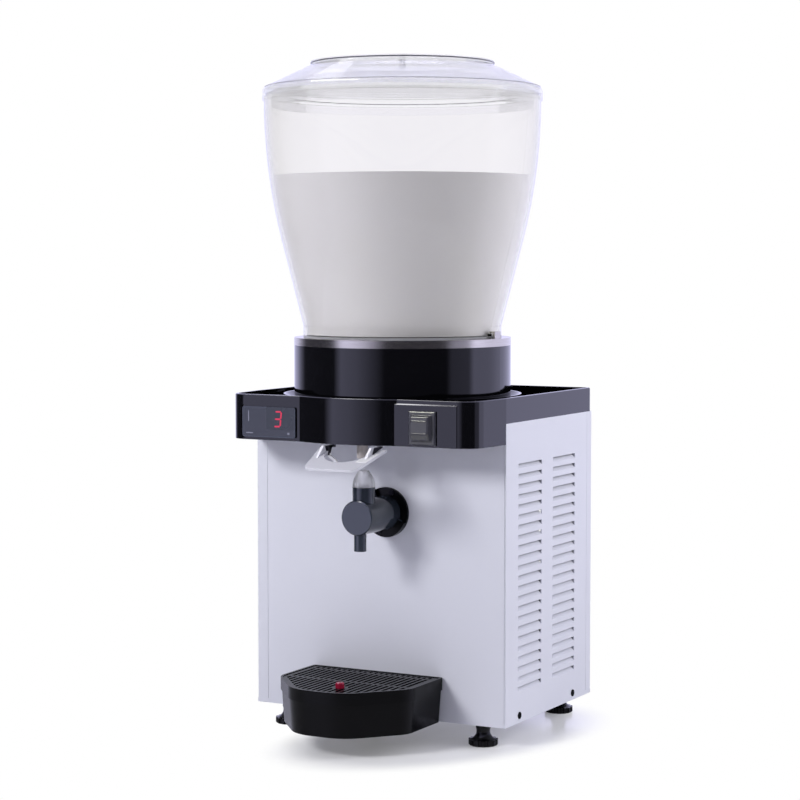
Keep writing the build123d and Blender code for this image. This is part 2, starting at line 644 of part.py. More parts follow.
# Levelling feet: a flared moulded foot with a fluted rim, on a threaded stud
FOOT_NAMES = ["front_left_foot", "front_right_foot", "rear_left_foot", "rear_right_foot"]
for foot_name, (foot_x, foot_y) in zip(FOOT_NAMES, foot_places()):
    foot_plane = Plane(origin=(foot_x, foot_y, 0), x_dir=(1, 0, 0), z_dir=(0, -1, 0))
    with BuildPart() as foot:
        with BuildSketch(foot_plane):
            with BuildLine():
                Polyline((FOOT_NECK_RADIUS, FOOT_HEIGHT), (STUD_RADIUS, FOOT_HEIGHT),
                         (STUD_RADIUS, FOOT_HEIGHT + STUD_LENGTH), (0, FOOT_HEIGHT + STUD_LENGTH), (0, 0),
                         (FOOT_RADIUS - SHEET, 0), (FOOT_RADIUS, SHEET), (FOOT_RADIUS, FOOT_DISC))
                TangentArc((FOOT_RADIUS, FOOT_DISC), (FOOT_NECK_RADIUS, FOOT_HEIGHT - FOOT_SHOULDER),
                           tangent=(-1, 0))
                Line((FOOT_NECK_RADIUS, FOOT_HEIGHT - FOOT_SHOULDER), (FOOT_NECK_RADIUS, FOOT_HEIGHT))
            make_face()
        revolve(axis=Axis((foot_x, foot_y, 0), (0, 0, 1)))
        with BuildSketch(Plane.XY):
            with Locations((foot_x, foot_y)):
                with PolarLocations(FOOT_RADIUS, FOOT_FLUTES):
                    Circle(FOOT_FLUTE)
        extrude(amount=FOOT_DISC + FOOT_SHOULDER, mode=Mode.SUBTRACT)
    keep(foot, foot_name)

with BuildPart() as foot_nuts:
    with BuildSketch(Plane.XY.offset(BASE_Z + SHEET)):
        with Locations(*foot_places()):
            RegularPolygon(NUT_ACROSS_FLATS / 2, 6, major_radius=False)
            Circle(STUD_RADIUS + FIT_GAP, mode=Mode.SUBTRACT)
    extrude(amount=NUT_HEIGHT)
keep(foot_nuts, "foot_nuts")

# Low-head screws that hold the side panels to the pan
with BuildPart() as panel_screws:
    for side in (-1, 1):
        head_plane = Plane(origin=(side * CABINET_WIDTH / 2, 0, 0), x_dir=(0, 1, 0), z_dir=(1, 0, 0))
        with BuildSketch(head_plane):
            with Locations(*SCREW_PLACES):
                Circle(PANEL_HEAD_RADIUS)
        extrude(amount=side * PANEL_HEAD_HEIGHT)
        with BuildSketch(head_plane):
            with Locations(*SCREW_PLACES):
                Circle(SCREW_RADIUS)
        extrude(amount=-side * SCREW_LENGTH)
keep(panel_screws, "panel_screws")

# Drum jacket: a plain cylinder on a skirt, with a gutter lip that catches drips
JACKET_INNER = DRUM_RADIUS - JACKET_WALL
with BuildPart() as drum_jacket:
    with BuildSketch(DRUM_PLANE):
        with BuildLine():
            Polyline((JACKET_INNER, FLOOR_TOP), (SKIRT_RADIUS, FLOOR_TOP),
                     (SKIRT_RADIUS, FLOOR_TOP + SKIRT_HEIGHT),
                     (LIP_RADIUS, FLOOR_TOP + LIP_HEIGHT - LIP_THICKNESS),
                     (LIP_RADIUS, FLOOR_TOP + LIP_HEIGHT),
                     (LIP_RADIUS - LIP_THICKNESS, FLOOR_TOP + LIP_HEIGHT),
                     (SKIRT_RADIUS, FLOOR_TOP + SKIRT_HEIGHT + LIP_THICKNESS),
                     (DRUM_RADIUS, FLOOR_TOP + SKIRT_HEIGHT + LIP_THICKNESS),
                     (DRUM_RADIUS, JACKET_TOP), (JACKET_INNER, JACKET_TOP), close=True)
        make_face()
    revolve(axis=DRUM_AXIS)
keep(drum_jacket, "drum_jacket")

# Foam cup between the jacket and the evaporator, notched for the outlet and bored for the lines
FOAM_OUTER = JACKET_INNER - FOAM_CLEARANCE
FOAM_INNER = EVAPORATOR_INNER + EVAPORATOR_THICKNESS + FOAM_CLEARANCE
ELBOW_Z = POT_FLOOR + ELBOW_LIFT
NOTCH_HALF = ELBOW_RADIUS + 2 * FOAM_CLEARANCE
with BuildPart() as pot_insulation:
    with BuildSketch(Plane.XY.offset(FLOOR_TOP)):
        with Locations((0, DRUM_Y)):
            Circle(FOAM_OUTER)
    extrude(amount=JACKET_HEIGHT)
    with BuildSketch(Plane.XY.offset(POT_LOW)):
        with Locations((0, DRUM_Y)):
            Circle(FOAM_INNER)
    extrude(amount=JACKET_HEIGHT, mode=Mode.SUBTRACT)
    with BuildSketch(Plane.XY.offset(FLOOR_TOP)):
        with Locations((0, DRUM_Y)):
            Circle(SEAL_COLLAR + HOLE_CLEARANCE)
        with Locations(*LINE_PLACES):
            Circle(LINE_HOLE)
        with Locations((TAP_X, TAP_Y)):
            SlotOverall(4 * NOTCH_HALF, 2 * (TAP_TUBE_RADIUS + FOAM_CLEARANCE), rotation=90)
    extrude(amount=ELBOW_Z + NOTCH_HALF - FLOOR_TOP, mode=Mode.SUBTRACT)
keep(pot_insulation, "pot_insulation")

# Evaporator: a flat hollow jacket brazed round the pot, with its two line stubs
EVAPORATOR_LOW = POT_LOW + EVAPORATOR_LIFT
STUB_END = CABINET_TOP - PANEL_RETURN
with BuildPart() as evaporator:
    with BuildSketch(DRUM_PLANE):
        with BuildLine():
            Polyline(*ring_outline(EVAPORATOR_INNER, EVAPORATOR_INNER + EVAPORATOR_THICKNESS,
                                   EVAPORATOR_LOW, EVAPORATOR_LOW + EVAPORATOR_HEIGHT), close=True)
        make_face()
    revolve(axis=DRUM_AXIS)
    with BuildSketch(Plane.XY.offset(STUB_END)):
        with Locations(*LINE_PLACES):
            Circle(LINE_RADIUS)
    extrude(amount=EVAPORATOR_LOW - STUB_END)
keep(evaporator, "evaporator")

# Stainless pot: a drawn cup whose folded ring stands on the jacket, with the outlet elbow at the front
POT_OUTER = POT_RADIUS + POT_SHEET
ELBOW_END = FLOOR_TOP + HOLE_CLEARANCE
ELBOW_START_Y = DRUM_Y - sqrt(POT_OUTER ** 2 - TAP_X ** 2)
with BuildPart() as cooling_pot:
    with BuildSketch(DRUM_PLANE):
        with BuildLine():
            Polyline((0, POT_LOW), (POT_OUTER, POT_LOW), (POT_OUTER, RING_TOP - POT_SHEET),
                     (DRUM_RADIUS - POT_SHEET, RING_TOP - POT_SHEET), (DRUM_RADIUS - POT_SHEET, JACKET_TOP),
                     (DRUM_RADIUS, JACKET_TOP), (DRUM_RADIUS, RING_TOP), (POT_RADIUS, RING_TOP),
                     (POT_RADIUS, POT_FLOOR), (0, POT_FLOOR), close=True)
        make_face()
    revolve(axis=DRUM_AXIS)
    with BuildLine() as elbow_path:
        FilletPolyline((TAP_X, ELBOW_START_Y + POT_SHEET / 2, ELBOW_Z), (TAP_X, TAP_Y, ELBOW_Z),
                       (TAP_X, TAP_Y, ELBOW_END), radius=ELBOW_BEND)
    with BuildSketch(Plane(origin=elbow_path.line @ 0, z_dir=elbow_path.line % 0)):
        Circle(ELBOW_RADIUS)
    sweep(path=elbow_path.line)
    with BuildSketch(Plane(origin=elbow_path.line @ 0, z_dir=elbow_path.line % 0)):
        Circle(TAP_BORE)
    sweep(path=elbow_path.line, mode=Mode.SUBTRACT)
    with BuildSketch(Plane(origin=elbow_path.line @ 0, z_dir=elbow_path.line % 0)):
        Circle(TAP_BORE)
    extrude(amount=-2 * POT_SHEET, mode=Mode.SUBTRACT)
    with BuildSketch(Plane.XY.offset(POT_LOW)):
        with Locations((0, DRUM_Y)):
            Circle(SEAL_RADIUS + FIT_GAP)
    extrude(amount=POT_SHEET, mode=Mode.SUBTRACT)
keep(cooling_pot, "cooling_pot")

# Gasket under the bowl's foot
with BuildPart() as bowl_gasket:
    with BuildSketch(DRUM_PLANE):
        with BuildLine():
            Polyline(*ring_outline(POT_RADIUS, BOWL_FOOT_RADIUS, RING_TOP, RING_TOP + GASKET_HEIGHT),
                     close=True)
        make_face()
    revolve(axis=DRUM_AXIS)
keep(bowl_gasket, "bowl_gasket")

# Two hooks on the ring's ledge that reach over the bowl's lugs
LUG_TOP = BOWL_Z + BOWL_FOOT_FLANGE
LUG_RADIUS = BOWL_FOOT_RADIUS + LUG_REACH
HOOK_INNER = LUG_RADIUS + HOOK_GAP
HOOK_UNDER = LUG_TOP + HOOK_GAP
HOOK_REACH = BOWL_FOOT_RADIUS + HOOK_CLEARANCE
with BuildPart() as bowl_hooks:
    for start in (-HOOK_ANGLE / 2, 180 - HOOK_ANGLE / 2):
        hook_plane = Plane(origin=(0, DRUM_Y, 0), z_dir=(sin(radians(start)), -cos(radians(start)), 0),
                           x_dir=(cos(radians(start)), sin(radians(start)), 0))
        with BuildSketch(hook_plane):
            with BuildLine():
                Polyline((HOOK_INNER, RING_TOP), (HOOK_INNER + HOOK_POST, RING_TOP),
                         (HOOK_INNER + HOOK_POST, HOOK_UNDER + HOOK_THICKNESS),
                         (HOOK_REACH, HOOK_UNDER + HOOK_THICKNESS), (HOOK_REACH, HOOK_UNDER),
                         (HOOK_INNER, HOOK_UNDER), close=True)
            make_face()
        revolve(axis=DRUM_AXIS, revolution_arc=HOOK_ANGLE)
keep(bowl_hooks, "bowl_hooks")

# Bowl: a straight cone that rounds into an upright rim, open above the pot, with two bayonet lugs
CONE_START = BOWL_Z + BOWL_FOOT_HEIGHT
CONE_END = BOWL_Z + BOWL_CONE_HEIGHT
BOWL_FOOT_INNER = BOWL_FOOT_RADIUS - BOWL_WALL
BOWL_CONE_INNER = BOWL_CONE_RADIUS - BOWL_WALL
BOWL_RIM_INNER = BOWL_RIM_RADIUS - BOWL_WALL
with BuildPart() as bowl:
    with BuildSketch(DRUM_PLANE):
        with BuildLine():
            Polyline((BOWL_FOOT_INNER, BOWL_Z), (BOWL_FOOT_RADIUS, BOWL_Z), (BOWL_FOOT_RADIUS, CONE_START))
            outer_cone = Line((BOWL_FOOT_RADIUS, CONE_START), (BOWL_CONE_RADIUS, CONE_END))
            TangentArc((BOWL_CONE_RADIUS, CONE_END), (BOWL_RIM_RADIUS, BOWL_TOP), tangent=outer_cone % 1)
            Line((BOWL_RIM_RADIUS, BOWL_TOP), (BOWL_RIM_INNER, BOWL_TOP))
            inner_cone = Line((BOWL_FOOT_INNER, CONE_START), (BOWL_CONE_INNER, CONE_END))
            TangentArc((BOWL_CONE_INNER, CONE_END), (BOWL_RIM_INNER, BOWL_TOP), tangent=inner_cone % 1)
            Line((BOWL_FOOT_INNER, CONE_START), (BOWL_FOOT_INNER, BOWL_Z))
        make_face()
        with Locations((BOWL_RIM_RADIUS, BOWL_TOP)):
            Rectangle(BOWL_LIP, BOWL_LIP_HEIGHT, align=(Align.MIN, Align.MAX))
        with Locations((BOWL_RIM_RADIUS, BOWL_TOP)):
            Rectangle(BOWL_WALL, BOWL_LIP_HEIGHT, align=(Align.MAX, Align.MAX))
    revolve(axis=DRUM_AXIS)
    for start in (-LUG_ANGLE / 2, 180 - LUG_ANGLE / 2):
        lug_plane = Plane(origin=(0, DRUM_Y, 0), z_dir=(sin(radians(start)), -cos(radians(start)), 0),
                          x_dir=(cos(radians(start)), sin(radians(start)), 0))
        with BuildSketch(lug_plane):
            with BuildLine():
                Polyline(*ring_outline(BOWL_FOOT_RADIUS - BOWL_WALL / 2, LUG_RADIUS, BOWL_Z, LUG_TOP),
                         close=True)
            make_face()
        revolve(axis=DRUM_AXIS, revolution_arc=LUG_ANGLE)
keep(bowl, "bowl")

# Lid: a rolled rim on the bowl's lip, a shallow cone, a beaded flat top and a plug ring inside the bowl
LID_RIM_RADIUS = BOWL_RIM_RADIUS + BOWL_LIP
LID_CONE_RADIUS = LID_RIM_RADIUS - LID_CONE_REACH
LID_BEAD_RADIUS = LID_CONE_RADIUS + LID_BEAD_OVERHANG
LID_Z = BOWL_TOP + SEAT_GAP
LID_SHOULDER = LID_Z + LID_RIM_HEIGHT
LID_FLAT = LID_SHOULDER + LID_CONE_RISE
PLUG_OUTER = BOWL_RIM_INNER - LID_PLUG_GAP
with BuildPart() as lid:
    with BuildSketch(DRUM_PLANE):
        with BuildLine():
            Polyline((0, LID_FLAT), (LID_BEAD_RADIUS, LID_FLAT),
                     (LID_BEAD_RADIUS, LID_FLAT - LID_BEAD_HEIGHT),
                     (LID_CONE_RADIUS, LID_FLAT - LID_BEAD_HEIGHT), (LID_RIM_RADIUS - LID_WALL, LID_SHOULDER),
                     (LID_RIM_RADIUS, LID_SHOULDER - LID_WALL), (LID_RIM_RADIUS, LID_Z),
                     (PLUG_OUTER, LID_Z), (PLUG_OUTER, LID_Z - LID_PLUG_DEPTH),
                     (PLUG_OUTER - LID_WALL, LID_Z - LID_PLUG_DEPTH),
                     (PLUG_OUTER - LID_WALL, LID_Z + LID_WALL),
                     (LID_RIM_RADIUS - LID_WALL, LID_Z + LID_WALL),
                     (LID_RIM_RADIUS - LID_WALL, LID_SHOULDER - 2 * LID_WALL),
                     (LID_CONE_RADIUS - LID_WALL, LID_FLAT - LID_WALL - LID_BEAD_HEIGHT),
                     (LID_CONE_RADIUS - LID_WALL, LID_FLAT - LID_WALL), (0, LID_FLAT - LID_WALL), close=True)
        make_face()
    revolve(axis=DRUM_AXIS)
keep(lid, "lid")

# Shaft seal: a collared rubber bush in the pot's floor
SEAL_LOW = FLOOR_TOP
with BuildPart() as shaft_seal:
    with BuildSketch(DRUM_PLANE):
        with BuildLine():
            Polyline((SHAFT_RADIUS + RUNNING_FIT, SEAL_LOW), (SEAL_COLLAR, SEAL_LOW), (SEAL_COLLAR, POT_LOW),
                     (SEAL_RADIUS, POT_LOW), (SEAL_RADIUS, POT_FLOOR + SEAL_COLLAR_HEIGHT),
                     (SHAFT_RADIUS + RUNNING_FIT, POT_FLOOR + SEAL_COLLAR_HEIGHT), close=True)
        make_face()
    revolve(axis=DRUM_AXIS)
keep(shaft_seal, "shaft_seal")

# Agitator: swept blades on a domed hub that sits on the drive shaft
PADDLE_Z = POT_FLOOR + SEAL_COLLAR_HEIGHT + PADDLE_LIFT
PADDLE_TOP = PADDLE_Z + PADDLE_HEIGHT + PADDLE_HUB_RADIUS
SHAFT_TOP = PADDLE_Z + PADDLE_SOCKET
GEARBOX_LOW = CABINET_TOP - GEARBOX_HEIGHT
with BuildPart() as paddle_blade:
    with BuildLine() as blade_line:
        TangentArc((PADDLE_HUB_RADIUS - PADDLE_BLADE, 0), (PADDLE_RADIUS, PADDLE_HUB_RADIUS), tangent=(1, 0))
    with BuildSketch():
        trace(blade_line.line, PADDLE_BLADE)
    extrude(amount=PADDLE_HEIGHT)

with BuildPart() as agitator_paddle:
    with BuildSketch(DRUM_PLANE):
        with BuildLine():
            Polyline((0, PADDLE_TOP), (0, PADDLE_Z), (PADDLE_HUB_RADIUS, PADDLE_Z),
                     (PADDLE_HUB_RADIUS, PADDLE_Z + PADDLE_HEIGHT))
            TangentArc((PADDLE_HUB_RADIUS, PADDLE_Z + PADDLE_HEIGHT), (0, PADDLE_TOP), tangent=(0, 1))
        make_face()
    revolve(axis=DRUM_AXIS)
    with Locations((0, DRUM_Y, PADDLE_Z)):
        with PolarLocations(0, PADDLE_BLADES):
            add(paddle_blade.part)
    with BuildSketch(Plane.XY.offset(PADDLE_Z)):
        with Locations((0, DRUM_Y)):
            Circle(SHAFT_RADIUS + RUNNING_FIT)
    extrude(amount=PADDLE_SOCKET, mode=Mode.SUBTRACT)
keep(agitator_paddle, "agitator_paddle")

with BuildPart() as agitator_shaft:
    with BuildSketch(Plane.XY.offset(GEARBOX_LOW + PADDLE_LIFT)):
        with Locations((0, DRUM_Y)):
            Circle(SHAFT_RADIUS)
    extrude(amount=SHAFT_TOP - GEARBOX_LOW - PADDLE_LIFT)
keep(agitator_shaft, "agitator_shaft")

# Gearbox under the deck, bored for the shaft, and the motor that hangs from it
with BuildPart() as agitator_gearbox:
    with BuildSketch(Plane.XY.offset(GEARBOX_LOW)) as gearbox_plan:
        with Locations((0, DRUM_Y)):
            RectangleRounded(GEARBOX_WIDTH, GEARBOX_DEPTH, GEARBOX_CORNER)
    extrude(amount=GEARBOX_HEIGHT)
    with BuildSketch(Plane.XY.offset(GEARBOX_LOW + PADDLE_LIFT)):
        with Locations((0, DRUM_Y)):
            Circle(SHAFT_RADIUS + RUNNING_FIT)
    extrude(amount=GEARBOX_HEIGHT, mode=Mode.SUBTRACT)
keep(agitator_gearbox, "agitator_gearbox")

MOTOR_LOW = GEARBOX_LOW - AGITATOR_MOTOR_HEIGHT
with BuildPart() as agitator_motor:
    with BuildSketch(Plane.XY.offset(MOTOR_LOW)):
        with Locations((0, DRUM_Y)):
            Circle(AGITATOR_MOTOR_RADIUS)
    extrude(amount=AGITATOR_MOTOR_HEIGHT)
    fillet(agitator_motor.edges().group_by(Axis.Z)[0], GEARBOX_CORNER / 2)
keep(agitator_motor, "agitator_motor")

# Soft tap tube from the pot's elbow to the nozzle tip
with BuildPart() as tap_tube:
    with BuildSketch(Plane.XY.offset(TAP_TIP)):
        with Locations((TAP_X, TAP_Y)):
            Circle(TAP_TUBE_RADIUS)
            Circle(TAP_BORE, mode=Mode.SUBTRACT)
    extrude(amount=ELBOW_END - TAP_TIP)
    tip_edge = tap_tube.edges().group_by(Axis.Z)[0].sort_by(SortBy.RADIUS)[-1:]
    chamfer(tip_edge, (TAP_TUBE_RADIUS - TAP_BORE) / 2)
keep(tap_tube, "tap_tube")

# Tap bracket under the cover's floor: a plate with two pin ears and the anvil behind the tube
BRACKET_FRONT_Y = PIVOT_Y - EAR_HALF_DEPTH
ANVIL_Y = TAP_Y + TAP_TUBE_RADIUS + PINCH_GAP
BRACKET_DEPTH = ANVIL_Y + BRACKET_SHEET - BRACKET_FRONT_Y
PIN_PLANE = Plane(origin=(TAP_X, PIVOT_Y, PIVOT_Z), x_dir=(0, 1, 0), z_dir=(1, 0, 0))
with BuildPart() as tap_bracket:
    with BuildSketch(Plane.XY.offset(FLOOR_LOW - BRACKET_SHEET)):
        with Locations((TAP_X, BRACKET_FRONT_Y)):
            Rectangle(2 * BRACKET_HALF_WIDTH, BRACKET_DEPTH, align=(Align.CENTER, Align.MIN))
        with Locations((TAP_X, TAP_Y)):
            Circle(TAP_TUBE_RADIUS + FOAM_CLEARANCE, mode=Mode.SUBTRACT)
    extrude(amount=BRACKET_SHEET)
    with BuildSketch(Plane.XY.offset(FLOOR_LOW - ANVIL_HEIGHT)):
        with Locations((TAP_X, ANVIL_Y)):
            Rectangle(2 * ANVIL_HALF_WIDTH, BRACKET_SHEET, align=(Align.CENTER, Align.MIN))
    extrude(amount=ANVIL_HEIGHT)
    with BuildSketch(PIN_PLANE.offset(-BRACKET_HALF_WIDTH),
                     PIN_PLANE.offset(BRACKET_HALF_WIDTH - BRACKET_SHEET)):
        Rectangle(2 * EAR_HALF_DEPTH, FLOOR_LOW - PIVOT_Z, align=(Align.CENTER, Align.MIN))
        Circle(EAR_HALF_DEPTH)
        Circle(PIN_RADIUS + RUNNING_FIT, mode=Mode.SUBTRACT)
    extrude(amount=BRACKET_SHEET)
keep(tap_bracket, "tap_bracket")

with BuildPart() as lever_pin:
    with BuildSketch(PIN_PLANE):
        Circle(PIN_RADIUS)
    extrude(amount=BRACKET_HALF_WIDTH + PIN_OVERHANG, both=True)
keep(lever_pin, "lever_pin")

# Tap lever: a sloped paddle cut away round the nozzle, with side gussets, two arms on the pin and the
# bar that pinches the tube
ARM_OUT = BRACKET_HALF_WIDTH - BRACKET_SHEET - ARM_GAP
LEVER_BACK = (LEVER_BACK_REACH - PIVOT_REACH, PIVOT_RISE + LEVER_BACK_DROP)
LEVER_FRONT = (LEVER_FRONT_REACH - PIVOT_REACH, PIVOT_RISE + LEVER_FRONT_DROP)
PINCH_Y = TAP_Y - TAP_TUBE_RADIUS - PINCH_GAP - PINCH_RADIUS - PIVOT_Y
GUSSET_TOP = -PIVOT_RISE - ARM_GAP
lever_slope = Vector(0, -LEVER_FRONT[0] + LEVER_BACK[0], LEVER_BACK[1] - LEVER_FRONT[1])
LEVER_LENGTH = lever_slope.length
LEVER_PLANE = Plane(origin=(TAP_X, PIVOT_Y - LEVER_BACK[0], PIVOT_Z - LEVER_BACK[1]),
                    x_dir=(1, 0, 0), z_dir=Vector(1, 0, 0).cross(lever_slope.normalized()))
with BuildPart() as tap_lever:
    with BuildSketch(LEVER_PLANE) as lever_plan:
        with BuildLine():
            Polyline((-LEVER_BACK_WIDTH / 2, 0), (-LEVER_FRONT_WIDTH / 2, LEVER_LENGTH),
                     (LEVER_FRONT_WIDTH / 2, LEVER_LENGTH), (LEVER_BACK_WIDTH / 2, 0), close=True)
        make_face()
        fillet(lever_plan.vertices().group_by(Axis.Y)[-1], LEVER_CORNER)
    extrude(amount=PADDLE_PLATE)
    with BuildSketch(LEVER_PLANE):
        with Locations((0, NOZZLE_CUT - NOZZLE_CLEARANCE)):
            Circle(NOZZLE_CLEARANCE)
            Rectangle(2 * NOZZLE_CLEARANCE, NOZZLE_CUT, align=(Align.CENTER, Align.MAX))
    extrude(amount=PADDLE_PLATE, mode=Mode.SUBTRACT)
    for arm_x in (-ARM_OUT, ARM_OUT - ARM_THICKNESS):
        with BuildSketch(PIN_PLANE.offset(arm_x)):
            with BuildLine():
                Polyline((-ARM_RADIUS, 0), (PINCH_Y - PINCH_RADIUS, PINCH_RISE),
                         (PINCH_Y + PINCH_RADIUS, PINCH_RISE), (ARM_RADIUS, 0),
                         (2 * ARM_RADIUS - LEVER_BACK[0], -LEVER_BACK[1]),
                         (-LEVER_BACK[0], -LEVER_BACK[1]),
                         (lever_slope.Y * GUSSET_LENGTH / LEVER_LENGTH - LEVER_BACK[0],
                          lever_slope.Z * GUSSET_LENGTH / LEVER_LENGTH - LEVER_BACK[1]),
                         (-LEVER_BACK[0] - GUSSET_LENGTH / 2, GUSSET_TOP), (-ARM_RADIUS, GUSSET_TOP),
                         close=True)
            make_face()
            Circle(ARM_RADIUS)
            with Locations((PINCH_Y, PINCH_RISE)):
                Circle(PINCH_RADIUS)
        extrude(amount=ARM_THICKNESS)
    with BuildSketch(PIN_PLANE.offset(-ARM_OUT)):
        with Locations((PINCH_Y, PINCH_RISE)):
            Circle(PINCH_RADIUS)
    extrude(amount=2 * ARM_OUT)
    with BuildSketch(PIN_PLANE):
        Circle(PIN_RADIUS + RUNNING_FIT)
    extrude(amount=BRACKET_HALF_WIDTH, both=True, mode=Mode.SUBTRACT)
keep(tap_lever, "tap_lever")

# Torsion spring on the pin: quarter-turn arcs along a helix, with a leg up to the bracket's plate
def helix_point(turn):
    """A point on the spring's centre line after so many turns, in the pin's own plane and along the pin."""
    angle = 2 * pi * turn
    return PIN_PLANE.from_local_coords(
        (SPRING_RADIUS * cos(angle), SPRING_RADIUS * sin(angle), SPRING_OFFSET + SPRING_PITCH * turn))


with BuildPart() as lever_spring:
    with BuildLine() as spring_path:
        for quarter in range(4 * SPRING_TURNS):
            ThreePointArc(helix_point(quarter / 4), helix_point(quarter / 4 + 1 / 8),
                          helix_point(quarter / 4 + 1 / 4))
        last = helix_point(SPRING_TURNS)
        Line(last, last + Vector(0, 0, SPRING_LEG))
    with BuildSketch(Plane(origin=spring_path.line @ 1, z_dir=spring_path.line % 1)):
        Circle(SPRING_WIRE / 2)
    sweep(path=spring_path.line)
spring_points = [helix_point(step / 24) for step in range(24 * SPRING_TURNS + 1)]
spring_gap = min((later - earlier).length - SPRING_WIRE for index, earlier in enumerate(spring_points)
                 for later in spring_points[index + 12:])
print("spring self gap", round(spring_gap, 2))
keep(lever_spring, "lever_spring")

# Bayonet flange on the front panel: a base ring with two claws
BAYONET_BORE = FROTHER_SEAL + HOLE_CLEARANCE
CLAW_UNDER = BAYONET_HEIGHT - BAYONET_CLAW
SCREW_SPOTS = [(BAYONET_SCREW_CIRCLE * cos(radians(angle)), BAYONET_SCREW_CIRCLE * sin(radians(angle)))
               for angle in (BAYONET_SCREW_ANGLE, BAYONET_SCREW_ANGLE + 180)]
with BuildPart() as frother_flange:
    with BuildSketch(FROTHER_PLANE):
        Circle(BAYONET_RADIUS)
        Circle(BAYONET_BORE, mode=Mode.SUBTRACT)
        with Locations(*SCREW_SPOTS):
            Circle(SCREW_RADIUS + HOLE_CLEARANCE, mode=Mode.SUBTRACT)
    extrude(amount=BAYONET_BASE)
    for start in (-BAYONET_CLAW_ANGLE, 180 - BAYONET_CLAW_ANGLE):
        claw_plane = Plane(origin=(TAP_X, FRONT_Y, FROTHER_Z),
                           z_dir=(-sin(radians(start)), 0, cos(radians(start))),
                           x_dir=(cos(radians(start)), 0, sin(radians(start))))
        with BuildSketch(claw_plane):
            with BuildLine():
                Polyline((BAYONET_LUG + BAYONET_GAP, -BAYONET_BASE), (BAYONET_RADIUS, -BAYONET_BASE),
                         (BAYONET_RADIUS, -BAYONET_HEIGHT), (BARREL_RADIUS + BAYONET_GAP, -BAYONET_HEIGHT),
                         (BARREL_RADIUS + BAYONET_GAP, -CLAW_UNDER), (BAYONET_LUG + BAYONET_GAP, -CLAW_UNDER),
                         close=True)
            make_face()
        revolve(axis=FROTHER_AXIS, revolution_arc=-2 * BAYONET_CLAW_ANGLE)
keep(frother_flange, "frother_flange")

with BuildPart() as flange_screws:
    with BuildSketch(FROTHER_PLANE.offset(BAYONET_BASE)):
        with Locations(*SCREW_SPOTS):
            Circle(SCREW_HEAD_RADIUS)
    extrude(amount=SCREW_HEAD_HEIGHT)
    with BuildSketch(FROTHER_PLANE.offset(BAYONET_BASE)):
        with Locations(*SCREW_SPOTS):
            Circle(SCREW_RADIUS)
    extrude(amount=-BAYONET_BASE)
keep(flange_screws, "flange_screws")

# Frother body: a closed barrel with an upright inlet, a spout below and two bayonet lugs
BARREL_BACK = BAYONET_BASE + BAYONET_GAP
CHAMBER_RADIUS = BARREL_RADIUS - BARREL_WALL
LUG_FRONT = CLAW_UNDER - BAYONET_GAP
INLET_Y = FRONT_Y - INLET_REACH
SPOUT_Y = FRONT_Y - SPOUT_REACH
INLET_TOP = FROTHER_Z + INLET_RISE
SPOUT_TIP = FROTHER_Z - SPOUT_DROP
with BuildPart() as frother_body:
    with BuildSketch(FROTHER_PLANE.offset(BARREL_BACK)):
        Circle(BARREL_RADIUS)
    extrude(amount=FROTHER_REACH - BARREL_BACK)
    chamfer(frother_body.edges().group_by(Axis.Y)[0], BARREL_FACE_EDGE)
    with BuildSketch(Plane.XY.offset(FROTHER_Z)):
        with Locations((TAP_X, INLET_Y)):
            Circle(INLET_RADIUS)
    extrude(amount=INLET_RISE)
    with BuildSketch(Plane.XY.offset(SPOUT_TIP)):
        with Locations((TAP_X, SPOUT_Y)):
            Circle(SPOUT_RADIUS)
    extrude(amount=SPOUT_DROP)
    with BuildSketch(FROTHER_PLANE.offset(BARREL_BACK)):
        Circle(CHAMBER_RADIUS)
    extrude(amount=FROTHER_REACH - BARREL_WALL - BARREL_BACK, mode=Mode.SUBTRACT)
    with BuildSketch(Plane.XY.offset(FROTHER_Z)):
        with Locations((TAP_X, INLET_Y)):
            Circle(INLET_BORE)
    extrude(amount=INLET_RISE, mode=Mode.SUBTRACT)
    with BuildSketch(Plane.XY.offset(SPOUT_TIP)):
        with Locations((TAP_X, SPOUT_Y)):
            Circle(SPOUT_BORE)
    extrude(amount=SPOUT_DROP, mode=Mode.SUBTRACT)
    for start in (-BAYONET_LUG_ANGLE, 180 - BAYONET_LUG_ANGLE):
        lug_plane = Plane(origin=(TAP_X, FRONT_Y, FROTHER_Z),
                          z_dir=(-sin(radians(start)), 0, cos(radians(start))),
                          x_dir=(cos(radians(start)), 0, sin(radians(start))))
        with BuildSketch(lug_plane):
            with BuildLine():
                Polyline((CHAMBER_RADIUS, -BARREL_BACK), (BAYONET_LUG, -BARREL_BACK),
                         (BAYONET_LUG, -LUG_FRONT), (CHAMBER_RADIUS, -LUG_FRONT), close=True)
            make_face()
        revolve(axis=FROTHER_AXIS, revolution_arc=-2 * BAYONET_LUG_ANGLE)
keep(frother_body, "frother_body")

